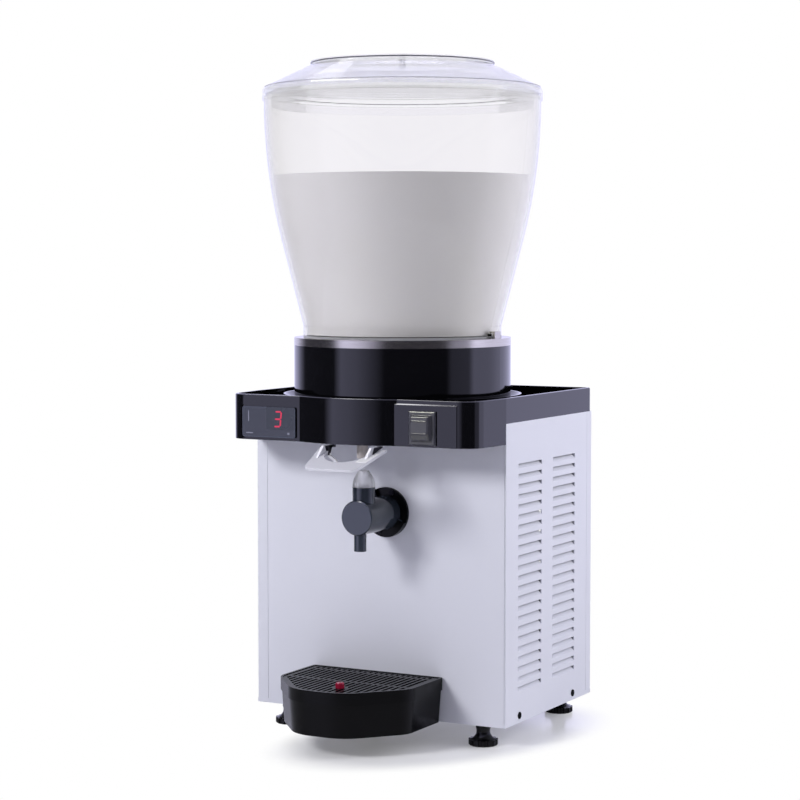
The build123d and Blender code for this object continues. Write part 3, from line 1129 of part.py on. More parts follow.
# Silicone dome plugged into the inlet, with a mouth under the tap
INLET_AXIS = Axis((TAP_X, INLET_Y, 0), (0, 0, 1))
INLET_PLANE = Plane(origin=(TAP_X, INLET_Y, 0), x_dir=(1, 0, 0), z_dir=(0, -1, 0))
PLUG_RADIUS = INLET_BORE - FIT_GAP
DOME_INNER = PLUG_RADIUS - DOME_WALL
DOME_TOP = INLET_TOP + DOME_HEIGHT
with BuildPart() as frother_dome:
    with BuildSketch(INLET_PLANE):
        with BuildLine():
            Polyline((DOME_INNER, INLET_TOP), (DOME_INNER, INLET_TOP - DOME_PLUG),
                     (PLUG_RADIUS, INLET_TOP - DOME_PLUG), (PLUG_RADIUS, INLET_TOP),
                     (INLET_RADIUS, INLET_TOP))
            TangentArc((INLET_RADIUS, INLET_TOP), (DOME_MOUTH, DOME_TOP), tangent=(0, 1))
            Line((DOME_MOUTH, DOME_TOP), (DOME_MOUTH, DOME_TOP - DOME_WALL))
            TangentArc((DOME_INNER, INLET_TOP), (DOME_MOUTH, DOME_TOP - DOME_WALL), tangent=(0, 1))
        make_face()
    revolve(axis=INLET_AXIS)
keep(frother_dome, "frother_dome")

# Frother drive: bladed impeller on a shaft, seal in the panel, motor behind it
MOTOR_FACE = SHEET + FROTHER_PLATE
with BuildPart() as impeller_blade:
    with BuildSketch(Plane.XY):
        with Locations((IMPELLER_HUB - IMPELLER_BLADE, 0)):
            Rectangle(IMPELLER_RADIUS - IMPELLER_HUB + IMPELLER_BLADE, IMPELLER_BLADE,
                      align=(Align.MIN, Align.CENTER))
    extrude(amount=IMPELLER_LENGTH)

with BuildPart() as frother_impeller:
    with BuildSketch(FROTHER_PLANE.offset(IMPELLER_REACH - IMPELLER_LENGTH)):
        Circle(IMPELLER_HUB)
    extrude(amount=IMPELLER_LENGTH)
    with Locations(FROTHER_PLANE.offset(IMPELLER_REACH - IMPELLER_LENGTH)):
        with PolarLocations(0, IMPELLER_BLADES):
            add(impeller_blade.part)
    with BuildSketch(FROTHER_PLANE.offset(IMPELLER_REACH - IMPELLER_LENGTH)):
        Circle(FROTHER_SHAFT + RUNNING_FIT)
    extrude(amount=IMPELLER_LENGTH, mode=Mode.SUBTRACT)
keep(frother_impeller, "frother_impeller")

SHAFT_BACK = MOTOR_FACE + FROTHER_MOTOR_LENGTH / 2
with BuildPart() as frother_shaft:
    with BuildSketch(FROTHER_PLANE.offset(-SHAFT_BACK)):
        Circle(FROTHER_SHAFT)
    extrude(amount=SHAFT_BACK + IMPELLER_REACH)
keep(frother_shaft, "frother_shaft")

with BuildPart() as frother_seal:
    with BuildSketch(FROTHER_PLANE.offset(-SHEET)):
        Circle(FROTHER_SEAL)
        Circle(FROTHER_SHAFT + RUNNING_FIT, mode=Mode.SUBTRACT)
    extrude(amount=SHEET + BAYONET_BASE)
keep(frother_seal, "frother_seal")

with BuildPart() as frother_motor:
    with BuildSketch(FROTHER_PLANE.offset(-MOTOR_FACE)):
        RectangleRounded(FROTHER_PLATE_SIZE, FROTHER_PLATE_SIZE, BARREL_WALL)
    extrude(amount=FROTHER_PLATE)
    with BuildSketch(FROTHER_PLANE.offset(-MOTOR_FACE - FROTHER_MOTOR_LENGTH)):
        Circle(FROTHER_MOTOR_RADIUS)
    extrude(amount=FROTHER_MOTOR_LENGTH)
    fillet(frother_motor.edges().group_by(Axis.Y)[-1], BARREL_WALL)
    with BuildSketch(FROTHER_PLANE.offset(-SHAFT_BACK)):
        Circle(FROTHER_SHAFT + RUNNING_FIT)
    extrude(amount=SHAFT_BACK, mode=Mode.SUBTRACT)
keep(frother_motor, "frother_motor")

# Thermostat: a bezel on the overhang's face with its body behind, and the flush key face
with BuildPart() as thermostat_housing:
    with BuildSketch(THERMOSTAT_PLANE.offset(SEAM)):
        RectangleRounded(THERMOSTAT_WIDTH, THERMOSTAT_HEIGHT, THERMOSTAT_BEZEL)
    extrude(amount=THERMOSTAT_BEZEL)
    with BuildSketch(THERMOSTAT_PLANE.offset(SEAM)):
        Rectangle(THERMOSTAT_BODY_WIDTH, THERMOSTAT_BODY_HEIGHT)
    extrude(amount=-THERMOSTAT_BODY_DEPTH)
    with BuildSketch(THERMOSTAT_PLANE.offset(SEAM + THERMOSTAT_BEZEL)):
        Rectangle(THERMOSTAT_WIDTH - 2 * THERMOSTAT_EDGE, THERMOSTAT_HEIGHT - 2 * THERMOSTAT_EDGE)
    extrude(amount=-THERMOSTAT_FACE, mode=Mode.SUBTRACT)
keep(thermostat_housing, "thermostat_housing")

with BuildPart() as thermostat_face:
    with BuildSketch(THERMOSTAT_PLANE.offset(SEAM + THERMOSTAT_BEZEL - THERMOSTAT_FACE)):
        Rectangle(THERMOSTAT_WIDTH - 2 * (THERMOSTAT_EDGE + FIT_GAP),
                  THERMOSTAT_HEIGHT - 2 * (THERMOSTAT_EDGE + FIT_GAP))
    extrude(amount=THERMOSTAT_FACE)
keep(thermostat_face, "thermostat_face")

# Rocker switch: frame, two-sided rocker on a round back, and the clear boot over both
BOOT_FOOT = SEAM + SWITCH_BEZEL
ROCKER_PIVOT = BOOT_FOOT - ROCKER_SINK
ROCKER_PLANE = Plane(origin=(SWITCH_X, PAD_Y - ROCKER_PIVOT, CONTROL_Z), x_dir=(0, -1, 0), z_dir=(-1, 0, 0))
with BuildPart() as switch_frame:
    with BuildSketch(SWITCH_PLANE.offset(SEAM)):
        Rectangle(SWITCH_WIDTH - 2 * BOOT_WALL, SWITCH_HEIGHT - 2 * BOOT_WALL)
    extrude(amount=SWITCH_BEZEL)
    with BuildSketch(SWITCH_PLANE.offset(SEAM)):
        Rectangle(SWITCH_BODY_WIDTH, SWITCH_BODY_HEIGHT)
    extrude(amount=-SWITCH_BODY_DEPTH)
    with BuildSketch(ROCKER_PLANE):
        Circle(ROCKER_RADIUS + ROCKER_GAP)
    extrude(amount=ROCKER_WIDTH / 2 + ROCKER_GAP, both=True, mode=Mode.SUBTRACT)
keep(switch_frame, "switch_frame")

ROCKER_FACE = ROCKER_SINK + SWITCH_BEZEL
with BuildPart() as switch_rocker:
    with BuildSketch(ROCKER_PLANE):
        Circle(ROCKER_RADIUS)
        with Locations((ROCKER_FACE, 0)):
            Rectangle(ROCKER_RADIUS, 4 * ROCKER_RADIUS, rotation=ROCKER_TILT - ROCKER_VALLEY,
                      align=(Align.MIN, Align.MIN), mode=Mode.SUBTRACT)
            Rectangle(ROCKER_RADIUS, 4 * ROCKER_RADIUS, rotation=ROCKER_TILT + ROCKER_VALLEY,
                      align=(Align.MIN, Align.MAX), mode=Mode.SUBTRACT)
    extrude(amount=ROCKER_WIDTH / 2, both=True)
keep(switch_rocker, "switch_rocker")

with BuildPart() as switch_boot:
    with BuildSketch(SWITCH_PLANE.offset(SEAM)):
        RectangleRounded(SWITCH_WIDTH, SWITCH_HEIGHT, SWITCH_BEZEL)
        Rectangle(SWITCH_WIDTH - 2 * BOOT_WALL + FIT_GAP, SWITCH_HEIGHT - 2 * BOOT_WALL + FIT_GAP,
                  mode=Mode.SUBTRACT)
    extrude(amount=SWITCH_BEZEL)
    with BuildSketch(SWITCH_PLANE.offset(BOOT_FOOT)):
        RectangleRounded(SWITCH_WIDTH, SWITCH_HEIGHT, SWITCH_BEZEL)
    with BuildSketch(SWITCH_PLANE.offset(BOOT_FOOT + BOOT_REACH)):
        RectangleRounded(SWITCH_WIDTH - 2 * BOOT_TAPER, SWITCH_HEIGHT - 2 * BOOT_TAPER, SWITCH_BEZEL)
    loft()
    with BuildSketch(SWITCH_PLANE.offset(BOOT_FOOT)):
        RectangleRounded(SWITCH_WIDTH - 2 * BOOT_WALL, SWITCH_HEIGHT - 2 * BOOT_WALL, SWITCH_BEZEL)
    with BuildSketch(SWITCH_PLANE.offset(BOOT_FOOT + BOOT_REACH - BOOT_WALL)):
        RectangleRounded(SWITCH_WIDTH - 2 * (BOOT_WALL + BOOT_TAPER),
                         SWITCH_HEIGHT - 2 * (BOOT_WALL + BOOT_TAPER), SWITCH_BEZEL)
    loft(mode=Mode.SUBTRACT)
keep(switch_boot, "switch_boot")

# Compressor: a domed welded shell on a foot plate, held on four rubber grommets
COMPRESSOR_X = CABINET_WIDTH / 2 - COMPRESSOR_SIDE_INSET
COMPRESSOR_Y = REAR_Y - COMPRESSOR_REAR_INSET
GROMMET_SPACING = COMPRESSOR_PLATE_SIZE - 2 * GROMMET_INSET
GROMMET_LOW = BASE_Z + SHEET
PLATE_LOW = GROMMET_LOW + GROMMET_HEIGHT
COMPRESSOR_LOW = PLATE_LOW + COMPRESSOR_PLATE
COMPRESSOR_TOP = COMPRESSOR_LOW + COMPRESSOR_HEIGHT
SHELL_EDGE = COMPRESSOR_RADIUS / 2
SUCTION_PLACE, LIQUID_PLACE = LINE_PLACES
DISCHARGE_PLACE = (COMPRESSOR_X - COMPRESSOR_RADIUS / 2, COMPRESSOR_Y)
COMPRESSOR_PORT = (COMPRESSOR_X, COMPRESSOR_Y + COMPRESSOR_RADIUS / 3)
with BuildPart() as compressor:
    with BuildSketch(Plane.XY.offset(PLATE_LOW)):
        with Locations((COMPRESSOR_X, COMPRESSOR_Y)):
            RectangleRounded(COMPRESSOR_PLATE_SIZE, COMPRESSOR_PLATE_SIZE, GROMMET_RADIUS)
    extrude(amount=COMPRESSOR_PLATE)
    with BuildSketch(Plane.XY.offset(COMPRESSOR_LOW)):
        with Locations((COMPRESSOR_X, COMPRESSOR_Y)):
            Circle(COMPRESSOR_RADIUS)
    extrude(amount=COMPRESSOR_HEIGHT)
    fillet(compressor.edges().group_by(Axis.Z)[-1], SHELL_EDGE)
    with BuildSketch(Plane.XY.offset(COMPRESSOR_TOP - SHELL_EDGE)):
        with Locations(DISCHARGE_PLACE, COMPRESSOR_PORT):
            Circle(LINE_RADIUS)
    extrude(amount=SHELL_EDGE + PORT_RISE)
keep(compressor, "compressor")

with BuildPart() as compressor_grommets:
    with BuildSketch(Plane.XY.offset(GROMMET_LOW)):
        with Locations((COMPRESSOR_X, COMPRESSOR_Y)):
            with GridLocations(GROMMET_SPACING, GROMMET_SPACING, 2, 2):
                Circle(GROMMET_RADIUS)
                Circle(STUD_RADIUS, mode=Mode.SUBTRACT)
    extrude(amount=GROMMET_HEIGHT)
keep(compressor_grommets, "compressor_grommets")

# Condenser: a finned stack on one serpentine tube, beside the left louvres
CONDENSER_X = -CABINET_WIDTH / 2 + SHEET + LOUVRE_LEAN + CONDENSER_GAP
CONDENSER_MIDDLE = CONDENSER_X + CONDENSER_DEPTH / 2
CONDENSER_Y = REAR_Y - CONDENSER_REAR_INSET
CONDENSER_LOW = BASE_Z + SHEET
ROW_PITCH = CONDENSER_HEIGHT / CONDENSER_ROWS
FIN_PITCH = CONDENSER_LENGTH / (CONDENSER_FINS - 1)
BEND_Y = CONDENSER_LENGTH / 2 + CONDENSER_BEND_REACH
row_heights = [CONDENSER_LOW + ROW_PITCH * (row + 0.5) for row in range(CONDENSER_ROWS)]
row_points = [(CONDENSER_MIDDLE, CONDENSER_Y + side * BEND_Y, height)
              for row, height in enumerate(row_heights)
              for side in ((1, -1) if row % 2 else (-1, 1))]
FIN_PLANE = Plane(origin=(CONDENSER_MIDDLE, CONDENSER_Y, CONDENSER_LOW), x_dir=(1, 0, 0), z_dir=(0, -1, 0))
FIN_PLACES = [(0, FIN_PITCH * (index - (CONDENSER_FINS - 1) / 2), 0) for index in range(CONDENSER_FINS)]
with BuildPart() as condenser:
    with BuildSketch(FIN_PLANE):
        Rectangle(CONDENSER_DEPTH, CONDENSER_HEIGHT, align=(Align.CENTER, Align.MIN))
    extrude(amount=CONDENSER_FIN / 2, both=True)
    fin = condenser.part
    with Locations(*FIN_PLACES):
        add(fin, mode=Mode.REPLACE)
    with BuildLine() as serpentine:
        FilletPolyline(*row_points, radius=ROW_PITCH / 2 - SEAM)
    with BuildSketch(Plane(origin=serpentine.line @ 0, z_dir=serpentine.line % 0)):
        Circle(CONDENSER_TUBE)
    sweep(path=serpentine.line)
keep(condenser, "condenser")

# Fan: a shroud on the condenser's inner face, a bladed rotor in it and a strapped motor behind
SHROUD_X = CONDENSER_X + CONDENSER_DEPTH
FAN_Z = CONDENSER_LOW + CONDENSER_HEIGHT / 2
FAN_PLANE = Plane(origin=(SHROUD_X, CONDENSER_Y, FAN_Z), x_dir=(0, 1, 0), z_dir=(1, 0, 0))
SHROUD_BORE = FAN_RADIUS + FAN_TIP_GAP
MOTOR_X = SHROUD_DEPTH + SHROUD_WALL
with BuildPart() as fan_shroud:
    with BuildSketch(FAN_PLANE):
        Rectangle(CONDENSER_LENGTH, CONDENSER_HEIGHT)
        Circle(SHROUD_BORE, mode=Mode.SUBTRACT)
    extrude(amount=SHROUD_WALL)
    with BuildSketch(FAN_PLANE):
        Circle(SHROUD_BORE + SHROUD_WALL)
        Circle(SHROUD_BORE, mode=Mode.SUBTRACT)
    extrude(amount=SHROUD_DEPTH)
keep(fan_shroud, "fan_shroud")

with BuildPart() as fan_blade:
    with BuildSketch(Plane.YZ.offset(FAN_HUB_RADIUS / 2)):
        Rectangle(FAN_BLADE_DEPTH, FAN_BLADE, rotation=FAN_PITCH)
    with BuildSketch(Plane.YZ.offset(FAN_RADIUS - FAN_BLADE)):
        Rectangle(2 * FAN_BLADE_DEPTH, FAN_BLADE, rotation=FAN_PITCH / 2)
    loft(ruled=True)

ROTOR_MIDDLE = SHROUD_DEPTH / 2
HUB_DEPTH = FAN_BLADE_DEPTH * sin(radians(FAN_PITCH)) + FAN_BLADE
with BuildPart() as fan_rotor:
    with BuildSketch(FAN_PLANE.offset(ROTOR_MIDDLE - HUB_DEPTH / 2)):
        Circle(FAN_HUB_RADIUS)
    extrude(amount=HUB_DEPTH)
    with Locations(FAN_PLANE.offset(ROTOR_MIDDLE)):
        with PolarLocations(0, FAN_BLADES):
            add(fan_blade.part)
    with BuildSketch(FAN_PLANE.offset(ROTOR_MIDDLE)):
        Circle(FAN_SHAFT_RADIUS)
    extrude(amount=MOTOR_X - ROTOR_MIDDLE + FAN_MOTOR_LENGTH / 2)
keep(fan_rotor, "fan_rotor")

with BuildPart() as fan_motor:
    with BuildSketch(FAN_PLANE.offset(MOTOR_X)):
        Circle(FAN_MOTOR_RADIUS)
    extrude(amount=FAN_MOTOR_LENGTH)
    fillet(fan_motor.edges().group_by(Axis.X)[-1], FAN_STRAP)
    with BuildSketch(FAN_PLANE.offset(MOTOR_X)):
        Rectangle(FAN_STRAP_WIDTH, CONDENSER_HEIGHT)
    extrude(amount=FAN_STRAP)
    with BuildSketch(FAN_PLANE.offset(SHROUD_WALL)):
        for side in (-1, 1):
            with Locations((0, side * (CONDENSER_HEIGHT - FAN_STRAP) / 2)):
                Rectangle(FAN_STRAP_WIDTH, FAN_STRAP)
    extrude(amount=MOTOR_X - SHROUD_WALL)
    with BuildSketch(FAN_PLANE.offset(MOTOR_X)):
        Circle(FAN_SHAFT_RADIUS + RUNNING_FIT)
    extrude(amount=FAN_MOTOR_LENGTH / 2 + FAN_STRAP, mode=Mode.SUBTRACT)
keep(fan_motor, "fan_motor")

# Filter drier: an upright copper cartridge with coned ends
DRIER_X = -CABINET_WIDTH / 2 + DRIER_SIDE_INSET
DRIER_Y = REAR_Y - DRIER_REAR_INSET
DRIER_LOW = BASE_Z + DRIER_LIFT
DRIER_TOP = DRIER_LOW + DRIER_LENGTH
with BuildPart() as filter_drier:
    with BuildSketch(Plane(origin=(DRIER_X, DRIER_Y, 0), x_dir=(1, 0, 0), z_dir=(0, -1, 0))):
        with BuildLine():
            Polyline((0, DRIER_LOW), (LINE_RADIUS, DRIER_LOW), (DRIER_RADIUS, DRIER_LOW + DRIER_RADIUS),
                     (DRIER_RADIUS, DRIER_TOP - DRIER_RADIUS), (LINE_RADIUS, DRIER_TOP), (0, DRIER_TOP),
                     close=True)
        make_face()
    revolve(axis=Axis((DRIER_X, DRIER_Y, 0), (0, 0, 1)))
keep(filter_drier, "filter_drier")


def copper_line(*points):
    """A bent copper line through the points, with equal bends."""
    with BuildPart() as line:
        with BuildLine() as route:
            FilletPolyline(*points, radius=3 * LINE_RADIUS)
        with BuildSketch(Plane(origin=route.line @ 0, z_dir=route.line % 0)):
            Circle(LINE_RADIUS)
        sweep(path=route.line)
    return line


# Refrigerant lines: compressor to condenser, condenser to drier to evaporator, evaporator to compressor
PORT_Z = COMPRESSOR_TOP + PORT_RISE
LINE_Z = PORT_Z + LINE_RISE
COIL_TOP = row_points[-1]
COIL_LOW = row_points[0]
LINE_BEND = 8 * LINE_RADIUS
discharge_line = copper_line(
    (*DISCHARGE_PLACE, PORT_Z), (*DISCHARGE_PLACE, LINE_Z), (CONDENSER_MIDDLE, COMPRESSOR_Y, LINE_Z),
    (CONDENSER_MIDDLE, COIL_TOP[1] - LINE_BEND, LINE_Z),
    (CONDENSER_MIDDLE, COIL_TOP[1] - LINE_BEND, COIL_TOP[2]), COIL_TOP)
keep(discharge_line, "discharge_line")

FEED_Z = (DRIER_TOP + STUB_END) / 2
COIL_FRONT_Y = COIL_LOW[1] - LINE_BEND
liquid_line = copper_line(
    COIL_LOW, (CONDENSER_MIDDLE, COIL_FRONT_Y, COIL_LOW[2]), (DRIER_X, COIL_FRONT_Y, COIL_LOW[2]),
    (DRIER_X, COIL_FRONT_Y, DRIER_LOW - LINE_BEND), (DRIER_X, DRIER_Y, DRIER_LOW - LINE_BEND),
    (DRIER_X, DRIER_Y, DRIER_LOW))
keep(liquid_line, "liquid_line")

feed_line = copper_line(
    (DRIER_X, DRIER_Y, DRIER_TOP), (DRIER_X, DRIER_Y, FEED_Z), (*LIQUID_PLACE, FEED_Z),
    (*LIQUID_PLACE, STUB_END))
keep(feed_line, "feed_line")

suction_line = copper_line(
    (*SUCTION_PLACE, STUB_END), (*SUCTION_PLACE, FEED_Z), (*COMPRESSOR_PORT, FEED_Z),
    (*COMPRESSOR_PORT, PORT_Z))
keep(suction_line, "suction_line")

# Cable gland: a flanged bush in the rear panel
GLAND_NECK = GLAND_RADIUS - GLAND_COLLAR
with BuildPart() as cable_gland:
    with BuildSketch(Plane(origin=(GLAND_X, REAR_Y, GLAND_Z), x_dir=(1, 0, 0), z_dir=(0, 0, 1))):
        with BuildLine():
            Polyline((GLAND_BORE, GLAND_FLANGE), (GLAND_RADIUS, GLAND_FLANGE), (GLAND_RADIUS, 0),
                     (GLAND_NECK, 0), (GLAND_NECK, -SHEET), (GLAND_RADIUS, -SHEET),
                     (GLAND_NECK, -SHEET - GLAND_COLLAR),
                     (GLAND_BORE, -SHEET - GLAND_COLLAR), close=True)
        make_face()
    revolve(axis=Axis((GLAND_X, REAR_Y, GLAND_Z), (0, 1, 0)))
keep(cable_gland, "cable_gland")


def tray_plan(height, inset):
    """The tray's outline at a height: straight back, short sides and a rounded front."""
    back = FRONT_Y - SEAM
    side = FRONT_Y - TRAY_SIDE_REACH
    front = FRONT_Y - TRAY_REACH
    with BuildSketch(Plane.XY.offset(height)) as plan:
        with BuildLine():
            Polyline((-TRAY_HALF_WIDTH, back), (-TRAY_HALF_WIDTH, side), (-TRAY_FRONT_HALF_WIDTH, front),
                     (TRAY_FRONT_HALF_WIDTH, front), (TRAY_HALF_WIDTH, side), (TRAY_HALF_WIDTH, back),
                     close=True)
        make_face()
        for row, radius in enumerate((TRAY_FRONT_CORNER, TRAY_SIDE_CORNER, TRAY_BACK_CORNER)):
            fillet(plan.vertices().group_by(Axis.Y)[2 * row], radius)
        if inset:
            offset(amount=-inset)
    return plan.sketch


# Rail on the front panel: a joggled strip whose upright tongue carries the tray
RAIL_KNEE = RAIL_FOOT + 2 * RAIL_STANDOFF
RAIL_PLANE = Plane(origin=(0, FRONT_Y, BASE_Z), x_dir=(0, 1, 0), z_dir=(1, 0, 0))
with BuildPart() as tray_rail:
    with BuildSketch(RAIL_PLANE):
        with BuildLine():
            Polyline((0, RAIL_FOOT), (0, RAIL_KNEE), (-RAIL_STANDOFF, RAIL_KNEE + RAIL_STANDOFF),
                     (-RAIL_STANDOFF, RAIL_TOP), (-RAIL_STANDOFF - RAIL_SHEET, RAIL_TOP),
                     (-RAIL_STANDOFF - RAIL_SHEET, RAIL_KNEE + RAIL_STANDOFF - RAIL_SHEET / 2),
                     (-RAIL_SHEET, RAIL_KNEE - RAIL_SHEET / 2), (-RAIL_SHEET, RAIL_FOOT), close=True)
        make_face()
    extrude(amount=RAIL_HALF_WIDTH, both=True)
keep(tray_rail, "tray_rail")

# Drip tray: a banded rim over a tapered cup, notched behind for the rail, with a lip that hooks over it
BAND_LOW = TRAY_TOP - TRAY_BAND
GRILLE_TOP = TRAY_TOP - GRILLE_SINK
GRILLE_LOW = GRILLE_TOP - GRILLE_THICKNESS
NOTCH_DEPTH = RAIL_STANDOFF + RAIL_SHEET + SEAM
NOTCH_HALF_WIDTH = RAIL_HALF_WIDTH + SEAM
NOTCH_TOP = RAIL_TOP + SEAM
with BuildPart() as drip_tray:
    add(tray_plan(BAND_LOW, 0))
    extrude(amount=TRAY_BAND)
    add(tray_plan(BAND_LOW, TRAY_BAND_STEP))
    extrude(amount=-(BAND_LOW - BASE_Z), taper=TRAY_TAPER)
    add(tray_plan(GRILLE_LOW, TRAY_WALL))
    extrude(amount=TRAY_TOP - GRILLE_LOW, mode=Mode.SUBTRACT)
    with BuildSketch(Plane.XY.offset(GRILLE_LOW)):
        add(tray_plan(0, TRAY_WALL + GRILLE_LEDGE))
        with Locations((0, FRONT_Y)):
            Rectangle(2 * (NOTCH_HALF_WIDTH + TRAY_WALL), 2 * (NOTCH_DEPTH + TRAY_WALL), mode=Mode.SUBTRACT)
    extrude(amount=-(GRILLE_LOW - BASE_Z - TRAY_FLOOR), taper=TRAY_TAPER, mode=Mode.SUBTRACT)
    with BuildSketch(Plane.XY.offset(BASE_Z)):
        with Locations((0, FRONT_Y)):
            Rectangle(2 * NOTCH_HALF_WIDTH, 2 * NOTCH_DEPTH)
    extrude(amount=NOTCH_TOP, mode=Mode.SUBTRACT)
    with BuildSketch(RAIL_PLANE):
        with Locations((-SEAM, NOTCH_TOP)):
            Rectangle(HOOK_LIP_THICKNESS, HOOK_LIP_DEPTH, align=(Align.MAX, Align.MAX))
    extrude(amount=HOOK_LIP_HALF_WIDTH, both=True)
keep(drip_tray, "drip_tray")

# Grille: a framed plate of slots, with cross ribs and a guide hole for the float
FLOAT_Y = FRONT_Y - FLOAT_REACH
BAR_COUNT = int(2 * (TRAY_HALF_WIDTH - TRAY_WALL - GRILLE_FRAME) / GRILLE_PITCH)
RIB_PLACES = [(0, FRONT_Y - TRAY_REACH * share) for share in (GRILLE_BACK_RIB, GRILLE_MIDDLE_RIB)]
with BuildPart() as drip_grille:
    add(tray_plan(GRILLE_LOW, TRAY_WALL + GRILLE_FIT))
    extrude(amount=GRILLE_THICKNESS)
    with BuildSketch(Plane.XY.offset(GRILLE_LOW)):
        with Locations((0, FRONT_Y - TRAY_REACH / 2)):
            with GridLocations(GRILLE_PITCH, GRILLE_PITCH, BAR_COUNT, 1):
                Rectangle(GRILLE_GAP, TRAY_REACH)
        add(tray_plan(0, TRAY_WALL + GRILLE_FIT + GRILLE_FRAME), mode=Mode.INTERSECT)
        with Locations(*RIB_PLACES):
            Rectangle(CABINET_WIDTH, GRILLE_RIB, mode=Mode.SUBTRACT)
        with Locations((FLOAT_X, FLOAT_Y)):
            Circle(FLOAT_RADIUS + GRILLE_FRAME, mode=Mode.SUBTRACT)
            Circle(FLOAT_RADIUS + FLOAT_GAP)
    extrude(amount=GRILLE_THICKNESS, mode=Mode.SUBTRACT)
keep(drip_grille, "drip_grille")

# Float: a stem through the grille on a puck that rests on the tray's floor
PUCK_LOW = BASE_Z + TRAY_FLOOR + FLOAT_GAP
with BuildPart() as tray_float:
    with BuildSketch(Plane.XY.offset(PUCK_LOW)):
        with Locations((FLOAT_X, FLOAT_Y)):
            Circle(FLOAT_PUCK_RADIUS)
    extrude(amount=FLOAT_PUCK_HEIGHT)
    with BuildSketch(Plane.XY.offset(PUCK_LOW)):
        with Locations((FLOAT_X, FLOAT_Y)):
            Circle(FLOAT_RADIUS)
    extrude(amount=BASE_Z + FLOAT_TOP - PUCK_LOW)
    fillet(tray_float.edges().group_by(Axis.Z)[-1], FLOAT_RADIUS / 3)
keep(tray_float, "tray_float")
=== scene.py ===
# %% [markdown]
# # A chilled ayran dispenser
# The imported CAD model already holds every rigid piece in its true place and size, in metres: the front
# faces -Y, +X is to the right and Z is up. This lesson dresses that model. It gives each piece the finish
# of the real material, pours the drink into the bowl, adds the small things that CAD leaves out, and then
# sets the light and the camera of a plain studio picture.

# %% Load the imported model
from math import cos, pi, radians, sin

import bmesh
import bpy
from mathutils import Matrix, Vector


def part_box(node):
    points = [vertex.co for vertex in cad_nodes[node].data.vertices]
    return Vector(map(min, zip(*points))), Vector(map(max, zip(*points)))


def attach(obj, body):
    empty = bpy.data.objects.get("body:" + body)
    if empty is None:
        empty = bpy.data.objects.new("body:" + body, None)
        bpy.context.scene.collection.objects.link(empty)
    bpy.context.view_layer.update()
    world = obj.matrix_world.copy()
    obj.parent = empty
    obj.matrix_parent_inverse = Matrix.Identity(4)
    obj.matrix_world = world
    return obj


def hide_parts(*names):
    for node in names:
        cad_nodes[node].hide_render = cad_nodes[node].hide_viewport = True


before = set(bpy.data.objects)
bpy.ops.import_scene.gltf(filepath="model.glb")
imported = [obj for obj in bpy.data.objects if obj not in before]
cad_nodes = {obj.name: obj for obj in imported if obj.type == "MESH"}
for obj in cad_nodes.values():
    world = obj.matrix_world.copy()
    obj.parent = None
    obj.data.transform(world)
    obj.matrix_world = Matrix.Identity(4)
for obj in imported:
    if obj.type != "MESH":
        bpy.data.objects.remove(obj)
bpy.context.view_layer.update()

# %% [markdown]
# ## Small helpers
# Colours are written as the hex values a designer reads off a screen, so one function turns them into
# the linear values that shaders need. Another function adds one shader node with its settings and its
# links, which keeps each material below short enough to read as a recipe. Patterns are measured in
# millimetres: a texture scale is the number of pattern cells in one metre. Sockets that share a name are
# given by their number. The last function turns a finished form into an object of one material.

# %% Colour, node and object helpers
# A Mix node has a set of sockets for each type of value. These are its factor, the two colours that go in
# and the colour that comes out.
FACTOR, FIRST, SECOND = 0, 6, 7
MIXED = 2
WHITE = (1, 1, 1, 1)
# How deep the relief of paint, plastic and metal is, in metres.
RELIEF_DEPTH = 0.0001


def linear(code):
    """The linear colour of an sRGB hex code such as #C5C8D6."""
    channels = [int(code[place:place + 2], 16) / 255 for place in (1, 3, 5)]
    return tuple(c / 12.92 if c <= 0.04045 else ((c + 0.055) / 1.055) ** 2.4 for c in channels) + (1.0,)


def per_metre(millimetres):
    """The texture scale whose cells are so many millimetres wide."""
    return 1000 / millimetres


def add_node(tree, kind, inputs=None, links=None, **settings):
    """Add a shader node, set its properties and its input values, and link other nodes' outputs to it."""
    made = tree.nodes.new(kind)
    for name, value in settings.items():
        setattr(made, name, value)
    for name, value in (inputs or {}).items():
        made.inputs[name].default_value = value
    for name, source in (links or {}).items():
        tree.links.new(source, made.inputs[name])
    return made


def start_material(name):
    """A new empty material and its node tree."""
    material = bpy.data.materials.new(name)
    material.use_nodes = True
    material.node_tree.nodes.clear()
    return material, material.node_tree


def end_material(tree, shader):
    """Send a finished shader to the material's surface."""
    add_node(tree, "ShaderNodeOutputMaterial", links={"Surface": shader})


def make_object(name, form, material):
    """Turn a finished form into an object of one material and put it into the scene."""
    mesh = bpy.data.meshes.new(name)
    form.to_mesh(mesh)
    form.free()
    mesh.materials.append(material)
    made = bpy.data.objects.new(name, mesh)
    bpy.context.scene.collection.objects.link(made)
    return made


print("helpers ready; white is", [round(c, 3) for c in linear("#FFFFFF")])

# %% [markdown]
# ## Powder-coated sheet steel
# The cabinet is folded steel sheet with a baked white powder coat. The coat flows before it sets and
# leaves an orange-peel skin, about a millimetre from dimple to dimple, and a soft semi-gloss. One
# millimetre is about one pixel here, so the peel is drawn at 3 mm to show at all. A wide, faint noise
# keeps the large flat panels from looking printed.

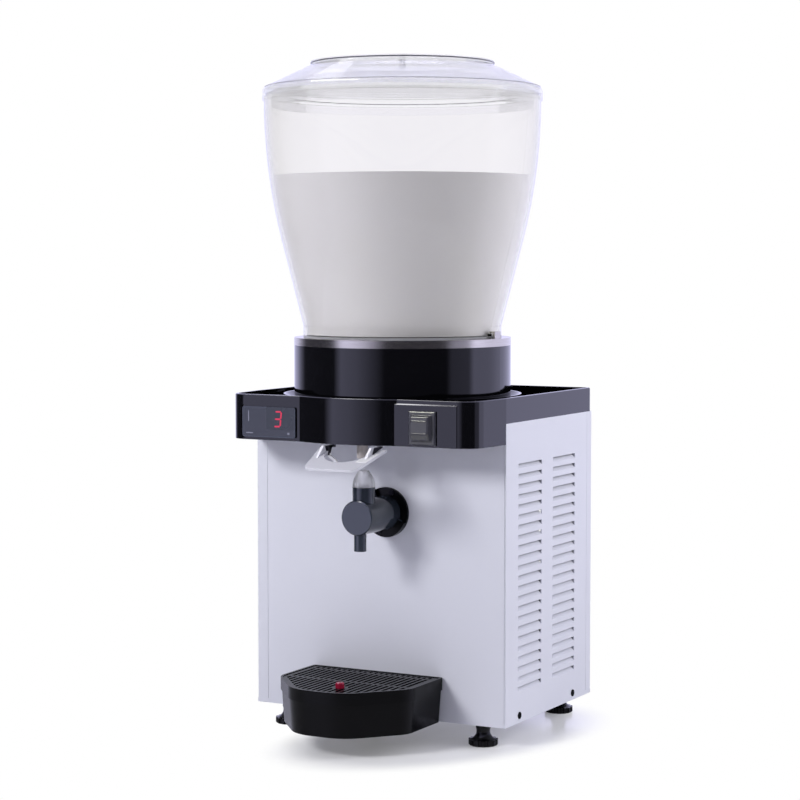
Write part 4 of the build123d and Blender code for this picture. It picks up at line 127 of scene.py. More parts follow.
# %% Powder coat
coat, tree = start_material("white_powder_coat_on_steel")
place = add_node(tree, "ShaderNodeTexCoord")
cloud = add_node(tree, "ShaderNodeTexNoise", {"Scale": per_metre(90), "Detail": 2.0},
                 {"Vector": place.outputs["Object"]})
tint = add_node(tree, "ShaderNodeMix", {FIRST: linear("#DADBE6"), SECOND: linear("#E0E1EB")},
                {FACTOR: cloud.outputs["Fac"]}, data_type="RGBA")
peel = add_node(tree, "ShaderNodeTexNoise", {"Scale": per_metre(3), "Detail": 1.0},
                {"Vector": place.outputs["Object"]})
relief = add_node(tree, "ShaderNodeBump", {"Strength": 0.12, "Distance": RELIEF_DEPTH},
                  {"Height": peel.outputs["Fac"]})
shader = add_node(tree, "ShaderNodeBsdfPrincipled", {"Roughness": 0.38, "IOR": 1.5},
                  {"Base Color": tint.outputs[MIXED], "Normal": relief.outputs["Normal"]})
end_material(tree, shader.outputs["BSDF"])
print("made", coat.name)

# %% [markdown]
# ## Moulded plastics
# The top cover and the drum jacket are polished ABS mouldings. Almost no light comes back from inside black
# plastic, so what the eye sees is the reflection of the studio: hard-edged pale bands on black. Handling
# leaves a faint haze, so a noise moves the roughness a little. The tray, the feet, the lever, the frother
# and the float are other plastics by the same recipe. A lower IOR weakens the reflection, which keeps a
# satin black piece black.

# %% Plastics
ABS_IOR = 1.53
MOTTLE_MM = 45


def moulded_plastic(name, colour, mottle, smooth, rough, grain_mm, bump, index=ABS_IOR):
    """A moulded plastic: two close colours, a roughness that wanders, and the tool's fine grain."""
    material, tree = start_material(name)
    place = add_node(tree, "ShaderNodeTexCoord")
    cloud = add_node(tree, "ShaderNodeTexNoise", {"Scale": per_metre(MOTTLE_MM), "Detail": 3.0},
                     {"Vector": place.outputs["Object"]})
    shade = add_node(tree, "ShaderNodeMix", {FIRST: linear(colour), SECOND: linear(mottle)},
                     {FACTOR: cloud.outputs["Fac"]}, data_type="RGBA")
    haze = add_node(tree, "ShaderNodeMapRange", {"To Min": smooth, "To Max": rough},
                    {"Value": cloud.outputs["Fac"]})
    grain = add_node(tree, "ShaderNodeTexNoise", {"Scale": per_metre(grain_mm), "Detail": 2.0},
                     {"Vector": place.outputs["Object"]})
    relief = add_node(tree, "ShaderNodeBump", {"Strength": bump, "Distance": RELIEF_DEPTH},
                      {"Height": grain.outputs["Fac"]})
    shader = add_node(tree, "ShaderNodeBsdfPrincipled", {"IOR": index},
                      {"Base Color": shade.outputs[MIXED], "Roughness": haze.outputs["Result"],
                       "Normal": relief.outputs["Normal"]})
    end_material(tree, shader.outputs["BSDF"])
    print("made", name)
    return material


# Each line gives the name, two colours, the least and the greatest roughness, the width of the grain in
# millimetres, the strength of its relief and, where it isn't that of ABS, the IOR.
gloss_black = moulded_plastic("gloss_black_abs", "#060608", "#09090C", 0.04, 0.09, 4, 0.01)
satin_black = moulded_plastic("satin_black_polypropylene", "#040406", "#070709", 0.2, 0.28, 2.5, 0.04, 1.22)
foot_black = moulded_plastic("black_nylon_foot", "#030304", "#050507", 0.12, 0.18, 2.5, 0.03, 1.34)
rubber_black = moulded_plastic("black_nitrile_rubber", "#0C0C0E", "#131316", 0.5, 0.62, 2.5, 0.15)
white_gloss = moulded_plastic("white_acetal_moulding", "#D8D8E2", "#DDDDE6", 0.36, 0.44, 3, 0.02)
# A whiter copy of the lever's white: on the web and the pad it paints the highlight of faces that catch
# light.
lit_white_plastic = moulded_plastic("white_plastic_with_painted_highlight", "#F6F6FA", "#F9F9FC", 0.3, 0.4, 3, 0.02)
slate = moulded_plastic("slate_grey_nylon", "#2C323C", "#313742", 0.11, 0.16, 2.5, 0.01, 1.6)
slate_face = moulded_plastic("slate_polyester_key_foil", "#30333C", "#353843", 0.26, 0.34, 2.5, 0.03)
float_red = moulded_plastic("red_polystyrene_float", "#8E0F2E", "#9A1536", 0.22, 0.3, 3, 0.02)
fan_grey = moulded_plastic("grey_glass_filled_nylon", "#3A3A3E", "#444448", 0.45, 0.55, 2.5, 0.1)
foam = moulded_plastic("cream_polyurethane_foam", "#D8CBA0", "#CDBE90", 0.8, 0.9, 3, 0.6)

# %% [markdown]
# ## Paint on small steel pieces
# Compressors and small motors leave the factory dip-painted in black: a thin, slightly wavy coat. It is
# the same recipe as a plastic, with a broader wave. The heads of the panel screws have a matt black lacquer.

# %% Black paints
shell_paint = moulded_plastic("black_dip_paint_on_steel", "#101012", "#17171A", 0.3, 0.42, 9, 0.12)
screw_black = moulded_plastic("black_lacquer_on_screw_heads", "#040405", "#060608", 0.5, 0.6, 2, 0.05, 1.1)

# %% [markdown]
# ## Metals
# The ring under the bowl and the two hooks are brushed stainless steel: the brush runs round the drum,
# so the noise is squeezed along Z and stretched round the circle. The lever's straps are blued steel, and
# their dark also paints the shade along the lever's arms.
# Inside the cabinet the deck is galvanised sheet, the refrigerant lines are drawn copper and the
# condenser's fins are mill aluminium. A metal keeps the default IOR and takes its colour from the base
# colour.

# %% Metals
# Brush lines are about 0.1 mm apart on the real ring; 0.8 mm is the finest that still shows here.
ALONG_RING = (0.05, 0.05, 1.0)
EVEN = (1.0, 1.0, 1.0)


def drawn_metal(name, colour, worn, smooth, rough, line_mm, stretch, bump):
    """A metal whose fine lines run flat round the piece, with a roughness that follows the lines."""
    material, tree = start_material(name)
    place = add_node(tree, "ShaderNodeTexCoord")
    squeeze = add_node(tree, "ShaderNodeMapping", {"Scale": stretch}, {"Vector": place.outputs["Object"]})
    lines = add_node(tree, "ShaderNodeTexNoise", {"Scale": per_metre(line_mm), "Detail": 3.0},
                     {"Vector": squeeze.outputs["Vector"]})
    shade = add_node(tree, "ShaderNodeMix", {FIRST: linear(colour), SECOND: linear(worn)},
                     {FACTOR: lines.outputs["Fac"]}, data_type="RGBA")
    gloss = add_node(tree, "ShaderNodeMapRange", {"To Min": smooth, "To Max": rough},
                     {"Value": lines.outputs["Fac"]})
    relief = add_node(tree, "ShaderNodeBump", {"Strength": bump, "Distance": RELIEF_DEPTH},
                      {"Height": lines.outputs["Fac"]})
    shader = add_node(tree, "ShaderNodeBsdfPrincipled", {"Metallic": 1.0},
                      {"Base Color": shade.outputs[MIXED], "Roughness": gloss.outputs["Result"],
                       "Normal": relief.outputs["Normal"]})
    end_material(tree, shader.outputs["BSDF"])
    print("made", name)
    return material


# Each line gives the name, two colours, the least and the greatest roughness, the width of the lines in
# millimetres, their stretch along X, Y and Z, and the strength of their relief.
stainless = drawn_metal("brushed_stainless_steel", "#CCC8BE", "#B4B0A6", 0.16, 0.26, 0.8, ALONG_RING, 0.08)
zinc_sheet = drawn_metal("galvanised_steel_sheet", "#A9ACB0", "#979A9F", 0.34, 0.5, 14, EVEN, 0.05)
dark_steel = drawn_metal("black_oxide_steel", "#1A1A1D", "#232327", 0.3, 0.42, 6, EVEN, 0.08)
# Blued steel for the straps, dark enough to paint the shade along the lever's arms as well.
strap_steel_and_shade = drawn_metal("blued_strap_steel_and_painted_shade", "#3A3A42", "#2E2E35", 0.26, 0.36, 6, EVEN, 0.06)
copper = drawn_metal("drawn_copper_tube", "#B87352", "#9E5F42", 0.26, 0.4, 6, EVEN, 0.05)
fin_metal = drawn_metal("mill_aluminium_fins", "#B4B6B8", "#A2A4A7", 0.32, 0.46, 2, EVEN, 0.05)

# %% [markdown]
# ## Clear polycarbonate, soft vinyl and silicone
# The bowl and the lid are injection-moulded clear polycarbonate, the plastic that survives being dropped
# in a kitchen. Thin clear walls hardly bend what is seen through them, so their IOR is set low, at about
# 1.3, and the lid lets part of the light straight through. Where light goes through a wall on a slant it
# meets more plastic, so the outline takes a grey tint. The switch's boot is vinyl with a smoke tint. The
# frother's inlet and the tap's tube are silicone that scatters light. Faint flow marks from the mould bend
# the surface a little.

# %% Clear and milky plastics
# The studio's walls are cool. This tint keeps their mirror image in clear plastic neutral.
CLEAR_GLOSS = "#FFFFDE"
# With this blend a Layer Weight node gives one less the cosine of the slant.
PLAIN_FACING = 0.5
SLANT_POWER = 4.0
FLOW_DEPTH = 0.0002


def clear_plastic(name, colour, rough, index, passing, cover, wave_mm, bump, slant_colour=None):
    """A see-through moulding: how much light passes, how milky it is, how much of it covers what is
    behind, its flow marks, and the tint that it takes where light goes through it on a slant."""
    material, tree = start_material(name)
    place = add_node(tree, "ShaderNodeTexCoord")
    wave = add_node(tree, "ShaderNodeTexNoise", {"Scale": per_metre(wave_mm), "Detail": 1.0},
                    {"Vector": place.outputs["Object"]})
    relief = add_node(tree, "ShaderNodeBump", {"Strength": bump, "Distance": FLOW_DEPTH},
                      {"Height": wave.outputs["Fac"]})
    shader = add_node(tree, "ShaderNodeBsdfPrincipled",
                      {"Base Color": linear(colour), "Roughness": rough, "IOR": index,
                       "Specular Tint": linear(CLEAR_GLOSS), "Transmission Weight": passing, "Alpha": cover},
                      {"Normal": relief.outputs["Normal"]})
    if slant_colour:
        slant = add_node(tree, "ShaderNodeLayerWeight", {"Blend": PLAIN_FACING})
        path = add_node(tree, "ShaderNodeMath", {1: SLANT_POWER}, {0: slant.outputs["Facing"]},
                        operation="POWER")
        tint = add_node(tree, "ShaderNodeMix", {FIRST: linear(colour), SECOND: linear(slant_colour)},
                        {FACTOR: path.outputs["Value"]}, data_type="RGBA")
        tree.links.new(tint.outputs[MIXED], shader.inputs["Base Color"])
    end_material(tree, shader.outputs["BSDF"])
    print("made", name)
    return material


# Each line gives the name, the colour, the roughness, the IOR, the share of light that passes, the cover,
# the width of the flow marks in millimetres, their strength and, for the two clear walls, the slant's tint.
polycarbonate = clear_plastic("clear_polycarbonate", "#F9F8FA", 0.0, 1.3, 1.0, 1.0, 60, 0.02, "#C8C7BA")
thin_polycarbonate = clear_plastic("clear_polycarbonate_thin", "#F9F9FC", 0.0, 1.35, 1.0, 0.55, 60, 0.02,
                                   "#C4C3C4")
# These two paint the thin grey and dark lines of shade where the lid's clear plastic turns a corner; the
# darker one also colours the lid's gate.
edge_line_shade = clear_plastic("painted_shade_grey_edge_line", "#8C8B99", 0.15, 1.5, 0.0, 0.62, 60, 0.02)
gate_and_edge_line_shade = clear_plastic("gate_and_painted_shade_dark_edge_line", "#5C5B68", 0.15, 1.5, 0.0, 0.8, 60, 0.02)
soft_vinyl = clear_plastic("smoke_tinted_soft_vinyl", "#484852", 0.07, 1.55, 0.0, 0.9, 8, 0.03)
silicone = clear_plastic("translucent_silicone", "#F6F6FC", 0.3, 1.42, 0.7, 1.0, 5, 0.1)
tube_silicone = clear_plastic("natural_silicone_tube", "#BDB6B6", 0.35, 1.42, 0.2, 1.0, 5, 0.1)

# %% [markdown]
# ## Dressing the CAD pieces
# A CAD piece whose shape is right keeps its mesh and only changes its material. The model file stores flat
# facets, so each mesh is shaded smooth and its real edges, sharper than 30 degrees, are kept crisp.

# %% Give every CAD piece its finish
CAD_EDGE = radians(30)
finishes = {
    coat: "base_pan front_panel left_side_panel right_side_panel rear_panel",
    gloss_black: "top_cover drum_jacket",
    satin_black: "drip_tray drip_grille frother_flange switch_frame switch_rocker cable_gland",
    foot_black: "front_left_foot front_right_foot rear_left_foot rear_right_foot",
    stainless: "cooling_pot bowl_hooks agitator_shaft lever_pin lever_spring frother_shaft",
    zinc_sheet: "top_deck tray_rail fan_shroud foot_nuts",
    dark_steel: "tap_bracket agitator_gearbox flange_screws",
    screw_black: "panel_screws",
    shell_paint: "agitator_motor frother_motor fan_motor compressor",
    polycarbonate: "bowl",
    thin_polycarbonate: "lid",
    soft_vinyl: "switch_boot",
    white_gloss: "agitator_paddle tap_lever frother_impeller",
    slate: "frother_body thermostat_housing",
    slate_face: "thermostat_face",
    silicone: "frother_dome bowl_gasket",
    tube_silicone: "tap_tube",
    rubber_black: "shaft_seal frother_seal compressor_grommets",
    float_red: "tray_float",
    copper: "evaporator filter_drier discharge_line liquid_line feed_line suction_line",
    fin_metal: "condenser",
    fan_grey: "fan_rotor",
    foam: "pot_insulation",
}
for material, names in finishes.items():
    for name in names.split():
        mesh = cad_nodes[name].data
        mesh.materials.clear()
        mesh.materials.append(material)
        mesh.shade_smooth()
        mesh.set_sharp_from_angle(angle=CAD_EDGE)
bare = set(cad_nodes) - set(" ".join(finishes.values()).split())
print("finished", len(cad_nodes) - len(bare), "pieces; without a finish:", sorted(bare))

# %% [markdown]
# ## The drink
# Ayran is beaten yoghurt and water: opaque, matt white, with a fine froth where it meets the air.

# %% Ayran
FROTH_DEPTH = 0.0003
drink_milk, tree = start_material("ayran_beaten_yoghurt")
place = add_node(tree, "ShaderNodeTexCoord")
curd = add_node(tree, "ShaderNodeTexNoise", {"Scale": per_metre(30), "Detail": 3.0},
                {"Vector": place.outputs["Object"]})
milk = add_node(tree, "ShaderNodeMix", {FIRST: linear("#F0EFF0"), SECOND: linear("#F3F2F4")},
                {FACTOR: curd.outputs["Fac"]}, data_type="RGBA")
froth = add_node(tree, "ShaderNodeTexVoronoi", {"Scale": per_metre(4)}, {"Vector": place.outputs["Object"]})
relief = add_node(tree, "ShaderNodeBump", {"Strength": 0.05, "Distance": FROTH_DEPTH},
                  {"Height": froth.outputs["Distance"]})
shader = add_node(tree, "ShaderNodeBsdfPrincipled", {"Roughness": 0.5, "IOR": 1.35},
                  {"Base Color": milk.outputs[MIXED], "Normal": relief.outputs["Normal"]})
end_material(tree, shader.outputs["BSDF"])
print("made", drink_milk.name)

# %% [markdown]
# ## Pouring the drink
# The drink is a turned solid that follows the inside of the bowl half a millimetre from the wall, so the
# clear plastic and the drink never share a face. The bowl's wall goes up straight from its foot, leans out
# in a cone and ends in an arc that leaves the cone without a kink. The drink rides on the bowl.

# %% Turned solids
DRUM_Y = 0.0078
TURNED_EDGE = radians(35)
SMOOTH_TURNS = 160
WELD = 1e-6


def tangent_arc(start, before, end, steps):
    """Points of the arc that leaves start in line with the point before it and ends at end."""
    way = Vector((start[0] - before[0], start[1] - before[1])).normalized()
    chord = Vector((end[0] - start[0], end[1] - start[1]))
    side = Vector((-way.y, way.x))
    reach = chord.length_squared / (2 * chord.dot(side))
    centre = Vector(start) + side * reach
    first = Vector(start) - centre
    turn = first.angle_signed(Vector(end) - centre)
    points = []
    for step in range(steps + 1):
        angle = -turn * step / steps
        points.append((centre.x + first.x * cos(angle) - first.y * sin(angle),
                       centre.y + first.x * sin(angle) + first.y * cos(angle)))
    return points


def turned(name, outline, material, body, turns=SMOOTH_TURNS):
    """A closed outline of radius and height, turned round the drum's axis into a smooth solid."""
    form = bmesh.new()
    ring = [form.verts.new((radius, 0, height)) for radius, height in outline]
    edges = [form.edges.new(pair) for pair in zip(ring, ring[1:])]
    bmesh.ops.spin(form, geom=ring + edges, cent=(0, 0, 0), axis=(0, 0, 1), angle=2 * pi, steps=turns,
                   use_merge=True)
    bmesh.ops.remove_doubles(form, verts=form.verts, dist=WELD)
    bmesh.ops.translate(form, verts=form.verts, vec=(0, DRUM_Y, 0))
    bmesh.ops.recalc_face_normals(form, faces=form.faces)
    piece = make_object(name, form, material)
    piece.data.shade_smooth()
    piece.data.set_sharp_from_angle(angle=TURNED_EDGE)
    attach(piece, body)
    print("turned", name, "faces", len(piece.data.polygons))


print("drum's axis at y in mm:", round(DRUM_Y * 1000, 1))

# %% [markdown]
# ## The level
# Each point is a radius and a height in metres. The drink climbs the wall a little, which draws the soft
# line at its edge.

# %% Pour
BOWL_WALL = 0.0030
BOWL_FOOT = (0.0992, 0.3972)
CONE_LOW = (0.0992, 0.4062)
CONE_HIGH = (0.1208, 0.4917)
BOWL_RIM = (0.1380, 0.6322)
ARC_STEPS = 24
DRINK_LEVEL = 0.5541
DRINK_GAP = 0.0006
MENISCUS = 0.0012
inset = BOWL_WALL + DRINK_GAP
wall = [BOWL_FOOT, CONE_LOW, *tangent_arc(CONE_HIGH, CONE_LOW, BOWL_RIM, ARC_STEPS)]
drink_side = [(radius - inset, height) for radius, height in wall if height < DRINK_LEVEL]
drink_side[0] = (drink_side[0][0], BOWL_FOOT[1] + DRINK_GAP)
level_radius = next(a[0] + (b[0] - a[0]) * (DRINK_LEVEL - a[1]) / (b[1] - a[1])
                    for a, b in zip(wall, wall[1:]) if a[1] <= DRINK_LEVEL < b[1]) - inset
turned("ayran", [(0, drink_side[0][1]), *drink_side, (level_radius, DRINK_LEVEL + MENISCUS),
                (level_radius - 2 * MENISCUS, DRINK_LEVEL), (0, DRINK_LEVEL)], drink_milk, "bowl")

# %% [markdown]
# ## Painted edge lines of the lid
# Where clear plastic turns a corner, light is trapped and the corner shows as a thin grey line. A fine bead
# of grey plastic along the lid's rim, and of darker plastic along the edge of its flat top and its inner
# brim, paints these lines as shade. The brim is a thin clear ring inside the lid. The small nub under the
# middle of the flat top is where the plastic was shot into the mould; it takes the darker plastic.

# %% Painted edge lines, brim and gate
LID_RIM = (0.1372, 0.6428)
LID_TOP = (0.0910, 0.6667)
BRIM_EDGE = (0.1160, 0.6340)
BRIM = [(0.1160, 0.6337), (0.1287, 0.6337), (0.1287, 0.6343), (0.1160, 0.6343), (0.1160, 0.6337)]
GATE = [(0, 0.6660), (0.0036, 0.6660), (0.0038, 0.6626), (0.0026, 0.6614), (0, 0.6614)]
GATE_TURNS = 32
FINE_BEAD = 0.00032
TOP_BEAD = 0.0007
BEAD_SIDES = 10


def bead(name, middle, radius, material):
    """A thin bead, round in section, turned about the drum's axis, riding on the lid: a painted line of
    shade.
    """
    angles = [2 * pi * step / BEAD_SIDES for step in range(BEAD_SIDES + 1)]
    section = [(middle[0] + radius * cos(angle), middle[1] + radius * sin(angle)) for angle in angles]
    turned(name, section, material, "lid")


bead("lid_rim_shade_line", LID_RIM, FINE_BEAD, edge_line_shade)
bead("lid_top_shade_line", LID_TOP, TOP_BEAD, gate_and_edge_line_shade)
turned("lid_brim", BRIM, thin_polycarbonate, "lid")
bead("lid_brim_shade_line", BRIM_EDGE, FINE_BEAD, gate_and_edge_line_shade)
turned("lid_gate", GATE, gate_and_edge_line_shade, "lid", GATE_TURNS)

# %% [markdown]
# ## The thermostat's digit
# The display shows one seven-segment figure in pink-red light. Each lit segment is a thin bar with pointed
# ends, leaning a little to the right, that stands a hair proud of the dark foil so that it never shares a
# face with it.

# %% Seven-segment figure
glow, tree = start_material("pink_red_led_segment")
light = add_node(tree, "ShaderNodeBsdfPrincipled",
                 {"Base Color": linear("#5A0A1C"), "Roughness": 0.4, "Emission Color": linear("#FF3A63"),
                  "Emission Strength": 0.62})
end_material(tree, light.outputs["BSDF"])

face_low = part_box("thermostat_face")[0]
FIGURE_WIDTH = 0.0070
FIGURE_HEIGHT = 0.0145
FIGURE_LEAN = 0.10
FIGURE_X = -0.0782
FIGURE_Z = 0.3165
FIGURE_PROUD = 0.00015
SEGMENT = 0.0016
SEGMENT_GAP = 0.15
figure_y = face_low.y - FIGURE_PROUD


def lit_segment(form, start, end):
    """One bar of the figure between two corners, pointed at both ends and short of its neighbours."""
    way = (Vector(end) - Vector(start)).normalized()
    side = Vector((-way.y, way.x)) * SEGMENT / 2
    near = Vector(start) + way * SEGMENT * SEGMENT_GAP
    far = Vector(end) - way * SEGMENT * SEGMENT_GAP
    corners = [near, near + way * SEGMENT / 2 + side, far - way * SEGMENT / 2 + side,
               far, far - way * SEGMENT / 2 - side, near + way * SEGMENT / 2 - side]
    form.faces.new([form.verts.new((FIGURE_X + p.x + FIGURE_LEAN * p.y, figure_y, FIGURE_Z + p.y))
                    for p in corners])


half, tall = FIGURE_WIDTH / 2, FIGURE_HEIGHT / 2
form = bmesh.new()
for height in (tall, 0, -tall):
    lit_segment(form, (-half, height), (half, height))
lit_segment(form, (half, 0), (half, tall))
lit_segment(form, (half, -tall), (half, 0))
figure = make_object("thermostat_figure", form, glow)
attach(figure, "cabinet")
print("figure of", len(figure.data.polygons), "segments")

# %% [markdown]
# ## Thermostat window and marks
# The foil has a darker window over the digits, a thin light line at its upper left and two small plain
# marks along its lower edge. Each is a thin plate on the foil.

# %% Window and marks
window_dark = moulded_plastic("smoked_polyester_window", "#272C33", "#2B3038", 0.24, 0.3, 6, 0.01)
print_grey = moulded_plastic("grey_screen_print", "#7E8090", "#868898", 0.4, 0.5, 3, 0.02)
PLATE = 0.00008
PLATE_FACES = ((0, 1, 2, 3), (4, 5, 6, 7), (0, 1, 5, 4), (1, 2, 6, 5), (2, 3, 7, 6), (3, 0, 4, 7))


def foil_plate(name, left, right, low, high, material):
    """A thin plate on the thermostat's foil, placed from the foil's left and lower edges."""
    corners = [(x, face_low.y - depth, z) for depth in (-PLATE, PLATE)
               for x, z in ((left, low), (right, low), (right, high), (left, high))]
    form = bmesh.new()
    points = [form.verts.new((face_low.x + x, y, face_low.z + z)) for x, y, z in corners]
    for face in PLATE_FACES:
        form.faces.new([points[corner] for corner in face])
    bmesh.ops.recalc_face_normals(form, faces=form.faces)
    plate = make_object(name, form, material)
    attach(plate, "cabinet")
    print(name, "width in mm", round((right - left) * 1000, 1))


foil_plate("digit_window", 0.0262, 0.0580, 0.0062, 0.0285, window_dark)
foil_plate("edge_line", 0.0052, 0.0062, 0.0140, 0.0245, print_grey)
foil_plate("left_mark", 0.0030, 0.0108, 0.0020, 0.0029, print_grey)
foil_plate("right_mark", 0.0502, 0.0526, 0.0018, 0.0038, print_grey)

# %% [markdown]
# ## Lever straps, web and pad
# Dark steel straps stiffen the lever's two arms: one lies on the right face of each arm, and their dark
# also paints the shade along the arms. A web stands behind the left of the paddle's cut-out and a pad lies
# on the paddle at its right, both in a whiter white than the lever that paints a highlight. All of them are
# flat, so one function gives an outline its thickness.

# %% Cut sheets
# The top of the paddle slopes down to the front. These are the place of its back edge along Y and Z, and
# how much it falls for each metre to the front.
PADDLE_BACK = (-0.1105, 0.2920)
PADDLE_SLOPE = 16 / 46.6


def cut_sheet(form, outline, near, far, facing):
    """A sheet with this outline between two places: along X when it faces the side, along Y when it faces
    the front, and above the paddle when it lies on that."""
    ends = []
    for at in (near, far):
        places = {"side": [(at, a, b) for a, b in outline], "front": [(a, at, b) for a, b in outline],
                  "paddle": [(a, b, PADDLE_BACK[1] + (b - PADDLE_BACK[0]) * PADDLE_SLOPE + at)
                             for a, b in outline]}
        ends.append([form.verts.new(place) for place in places[facing]])
    for end in ends:
        form.faces.new(end)
    for step in range(len(outline)):
        after = (step + 1) % len(outline)
        form.faces.new([ends[0][step], ends[0][after], ends[1][after], ends[1][step]])


def sheet_piece(name, sheets, material):
    """A piece of several cut sheets that rides on the lever."""
    form = bmesh.new()
    for outline, (near, far), facing in sheets:
        cut_sheet(form, outline, near, far, facing)
    bmesh.ops.recalc_face_normals(form, faces=form.faces)
    piece = make_object(name, form, material)
    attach(piece, "lever")
    print(name, len(piece.data.polygons), "faces")


print("the paddle falls by", round(PADDLE_SLOPE, 3), "for each metre to the front")

# %% [markdown]
# ## Outlines of the lever's trim
# A strap's outline is a list of places along Y and Z, and the strap lies between two places along X. The
# web's outline goes along X and Z and the pad's along X and Y.

# %% Straps, web and pad
LEFT_STRAP = (-0.01498, -0.0130)
LEFT_TAIL = (-0.01395, -0.0130)
RIGHT_STRAP = (0.03748, 0.0385)
ABOVE_PADDLE = [(-0.1035, 0.2944), (-0.1215, 0.2944), (-0.1190, 0.2893), (-0.1105, 0.2922),
                (-0.1035, 0.2922)]
IN_CUTOUT = [(-0.1100, 0.2944), (-0.1150, 0.2944), (-0.1180, 0.2850), (-0.1150, 0.2850)]
ON_PADDLE = [(-0.1040, 0.2944), (-0.1190, 0.2944), (-0.1230, 0.2874), (-0.1105, 0.2917),
             (-0.1040, 0.2930)]
WEB_DEPTH = (-0.1155, -0.1125)
WEB = [(-0.0150, 0.2886), (-0.0150, 0.2835), (-0.0075, 0.2778), (-0.0060, 0.2785), (-0.0060, 0.2800),
       (-0.0128, 0.2848), (-0.0132, 0.2886)]
PAD_THICKNESS = (-0.0003, 0.0005)
PAD = [(0.0294, -0.1406), (0.0406, -0.1398), (0.0432, -0.1270), (0.0442, -0.1215), (0.0414, -0.1205),
       (0.0378, -0.1245), (0.0365, -0.1300), (0.0310, -0.1332), (0.0299, -0.1346)]
sheet_piece("lever_straps", [(ABOVE_PADDLE, LEFT_STRAP, "side"), (IN_CUTOUT, LEFT_TAIL, "side"),
                             (ON_PADDLE, RIGHT_STRAP, "side")], strap_steel_and_shade)
sheet_piece("lever_web", [(WEB, WEB_DEPTH, "front")], lit_white_plastic)
sheet_piece("lever_pad", [(PAD, PAD_THICKNESS, "paddle")], lit_white_plastic)

# %% [markdown]
# ## The switch's soft boot
# A smoke-tinted vinyl boot keeps splashes out of the switch. It has a low rim with a chamfered edge and a
# raised block that follows the rocker: the block's face peaks at a ridge below its middle, and two small
# ribs run across it. The shape is given as a height over the panel.

# %% Height of the boot
BOOT_RIM = 0.0024
BOOT_CHAMFER = 0.0013
BLOCK = (0.0104, 0.0124)
BLOCK_WALL = 0.0005
RIDGE = (-0.0047, 0.0090)
CREST = (0.0100, 0.0080)
TOE = (-0.0115, 0.0062)
RIBS = (-0.0047, 0.0072)
RIB_HALF = 0.0009
RIB_RISE = 0.0009
boot_low, boot_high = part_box("switch_boot")
middle = (boot_low + boot_high) / 2
half_wide, half_tall = (boot_high.x - boot_low.x) / 2, (boot_high.z - boot_low.z) / 2
panel_y = boot_high.y


def boot_height(across, up):
    """How far the boot stands off the panel at a place measured from its middle."""
    to_edge = min(half_wide - abs(across), half_tall - abs(up))
    rim = BOOT_RIM - max(0.0, BOOT_CHAMFER - to_edge)
    end = CREST if up > RIDGE[0] else TOE
    front = RIDGE[1] + (end[1] - RIDGE[1]) * (up - RIDGE[0]) / (end[0] - RIDGE[0])
    inside = min(BLOCK[0] - abs(across), BLOCK[1] - abs(up))
    if inside <= 0:
        return rim
    if inside < BLOCK_WALL:
        return rim + (front - BOOT_CHAMFER - rim) * inside / BLOCK_WALL
    rib = max(RIB_RISE * max(0.0, 1 - abs(up - place) / RIB_HALF) for place in RIBS)
    return min(front + rib, front - BOOT_CHAMFER + inside - BLOCK_WALL)


print("boot at its middle stands off by mm", round(boot_height(0, 0) * 1000, 2))

# %% [markdown]
# ## Skin of the boot
# The height is drawn over a fine grid. A second layer behind it gives the vinyl its thickness, and strips
# along the four sides close the gap between the layers.

# %% Soft boot
BOOT_SKIN = 0.0008
BOOT_STEPS = 72
shares = [2 * step / BOOT_STEPS - 1 for step in range(BOOT_STEPS + 1)]
form = bmesh.new()
layers = []
for skin in (0.0, BOOT_SKIN):
    rows = []
    for up in [half_tall * share for share in shares]:
        rises = [(across, max(boot_height(across, up) - skin, 0.0))
                 for across in [half_wide * share for share in shares]]
        rows.append([form.verts.new((middle.x + across, panel_y - rise, middle.z + up))
                     for across, rise in rises])
    layers.append(rows)
for rows in layers:
    for lower, upper in zip(rows, rows[1:]):
        for corners in zip(lower, lower[1:], upper[1:], upper):
            form.faces.new(corners)
outer, inner = layers
for front, back in ((outer[0], inner[0]), (outer[-1], inner[-1]),
                    ([row[0] for row in outer], [row[0] for row in inner]),
                    ([row[-1] for row in outer], [row[-1] for row in inner])):
    for corners in zip(front, front[1:], back[1:], back):
        form.faces.new(corners)
bmesh.ops.recalc_face_normals(form, faces=form.faces)
boot = make_object("soft_boot", form, soft_vinyl)
boot.data.shade_smooth()
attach(boot, "cabinet")
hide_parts("switch_boot")
print("boot stands off by mm", round((panel_y - min(v.co.y for v in boot.data.vertices)) * 1000, 2))

# %% [markdown]
# ## Floor
# The machine stands on a glossy white board. Near the machine the board is lit like everything else, so it
# keeps the shadow and a blurred reflection of the feet and the tray, with a little light of its own for the
# camera. Outside an oval round the feet, for the camera only, it fades into plain white light, so that the
# board has no edge in the picture.

# %% White board
FADE_MIDDLE = (0.055, -0.008, 0.0)
FADE_TURN = -19.4
FADE_HALF = (0.105, 0.178, 1.0)
FADE_START = 0.82
FADE_END = 1.22
LIFT = 0.155
board, tree = start_material("white_gloss_board")
place = add_node(tree, "ShaderNodeTexCoord")
fibre = add_node(tree, "ShaderNodeTexNoise", {"Scale": per_metre(40)}, {"Vector": place.outputs["Object"]})
tone = add_node(tree, "ShaderNodeMix", {FIRST: linear("#F0F0F3"), SECOND: linear("#F4F4F7")},
                {FACTOR: fibre.outputs["Fac"]}, data_type="RGBA")
haze = add_node(tree, "ShaderNodeMapRange", {"To Min": 0.18, "To Max": 0.24}, {"Value": fibre.outputs["Fac"]})
surface = add_node(tree, "ShaderNodeBsdfPrincipled", {"IOR": 1.4},
                   {"Base Color": tone.outputs[MIXED], "Roughness": haze.outputs["Result"]})
path = add_node(tree, "ShaderNodeLightPath")
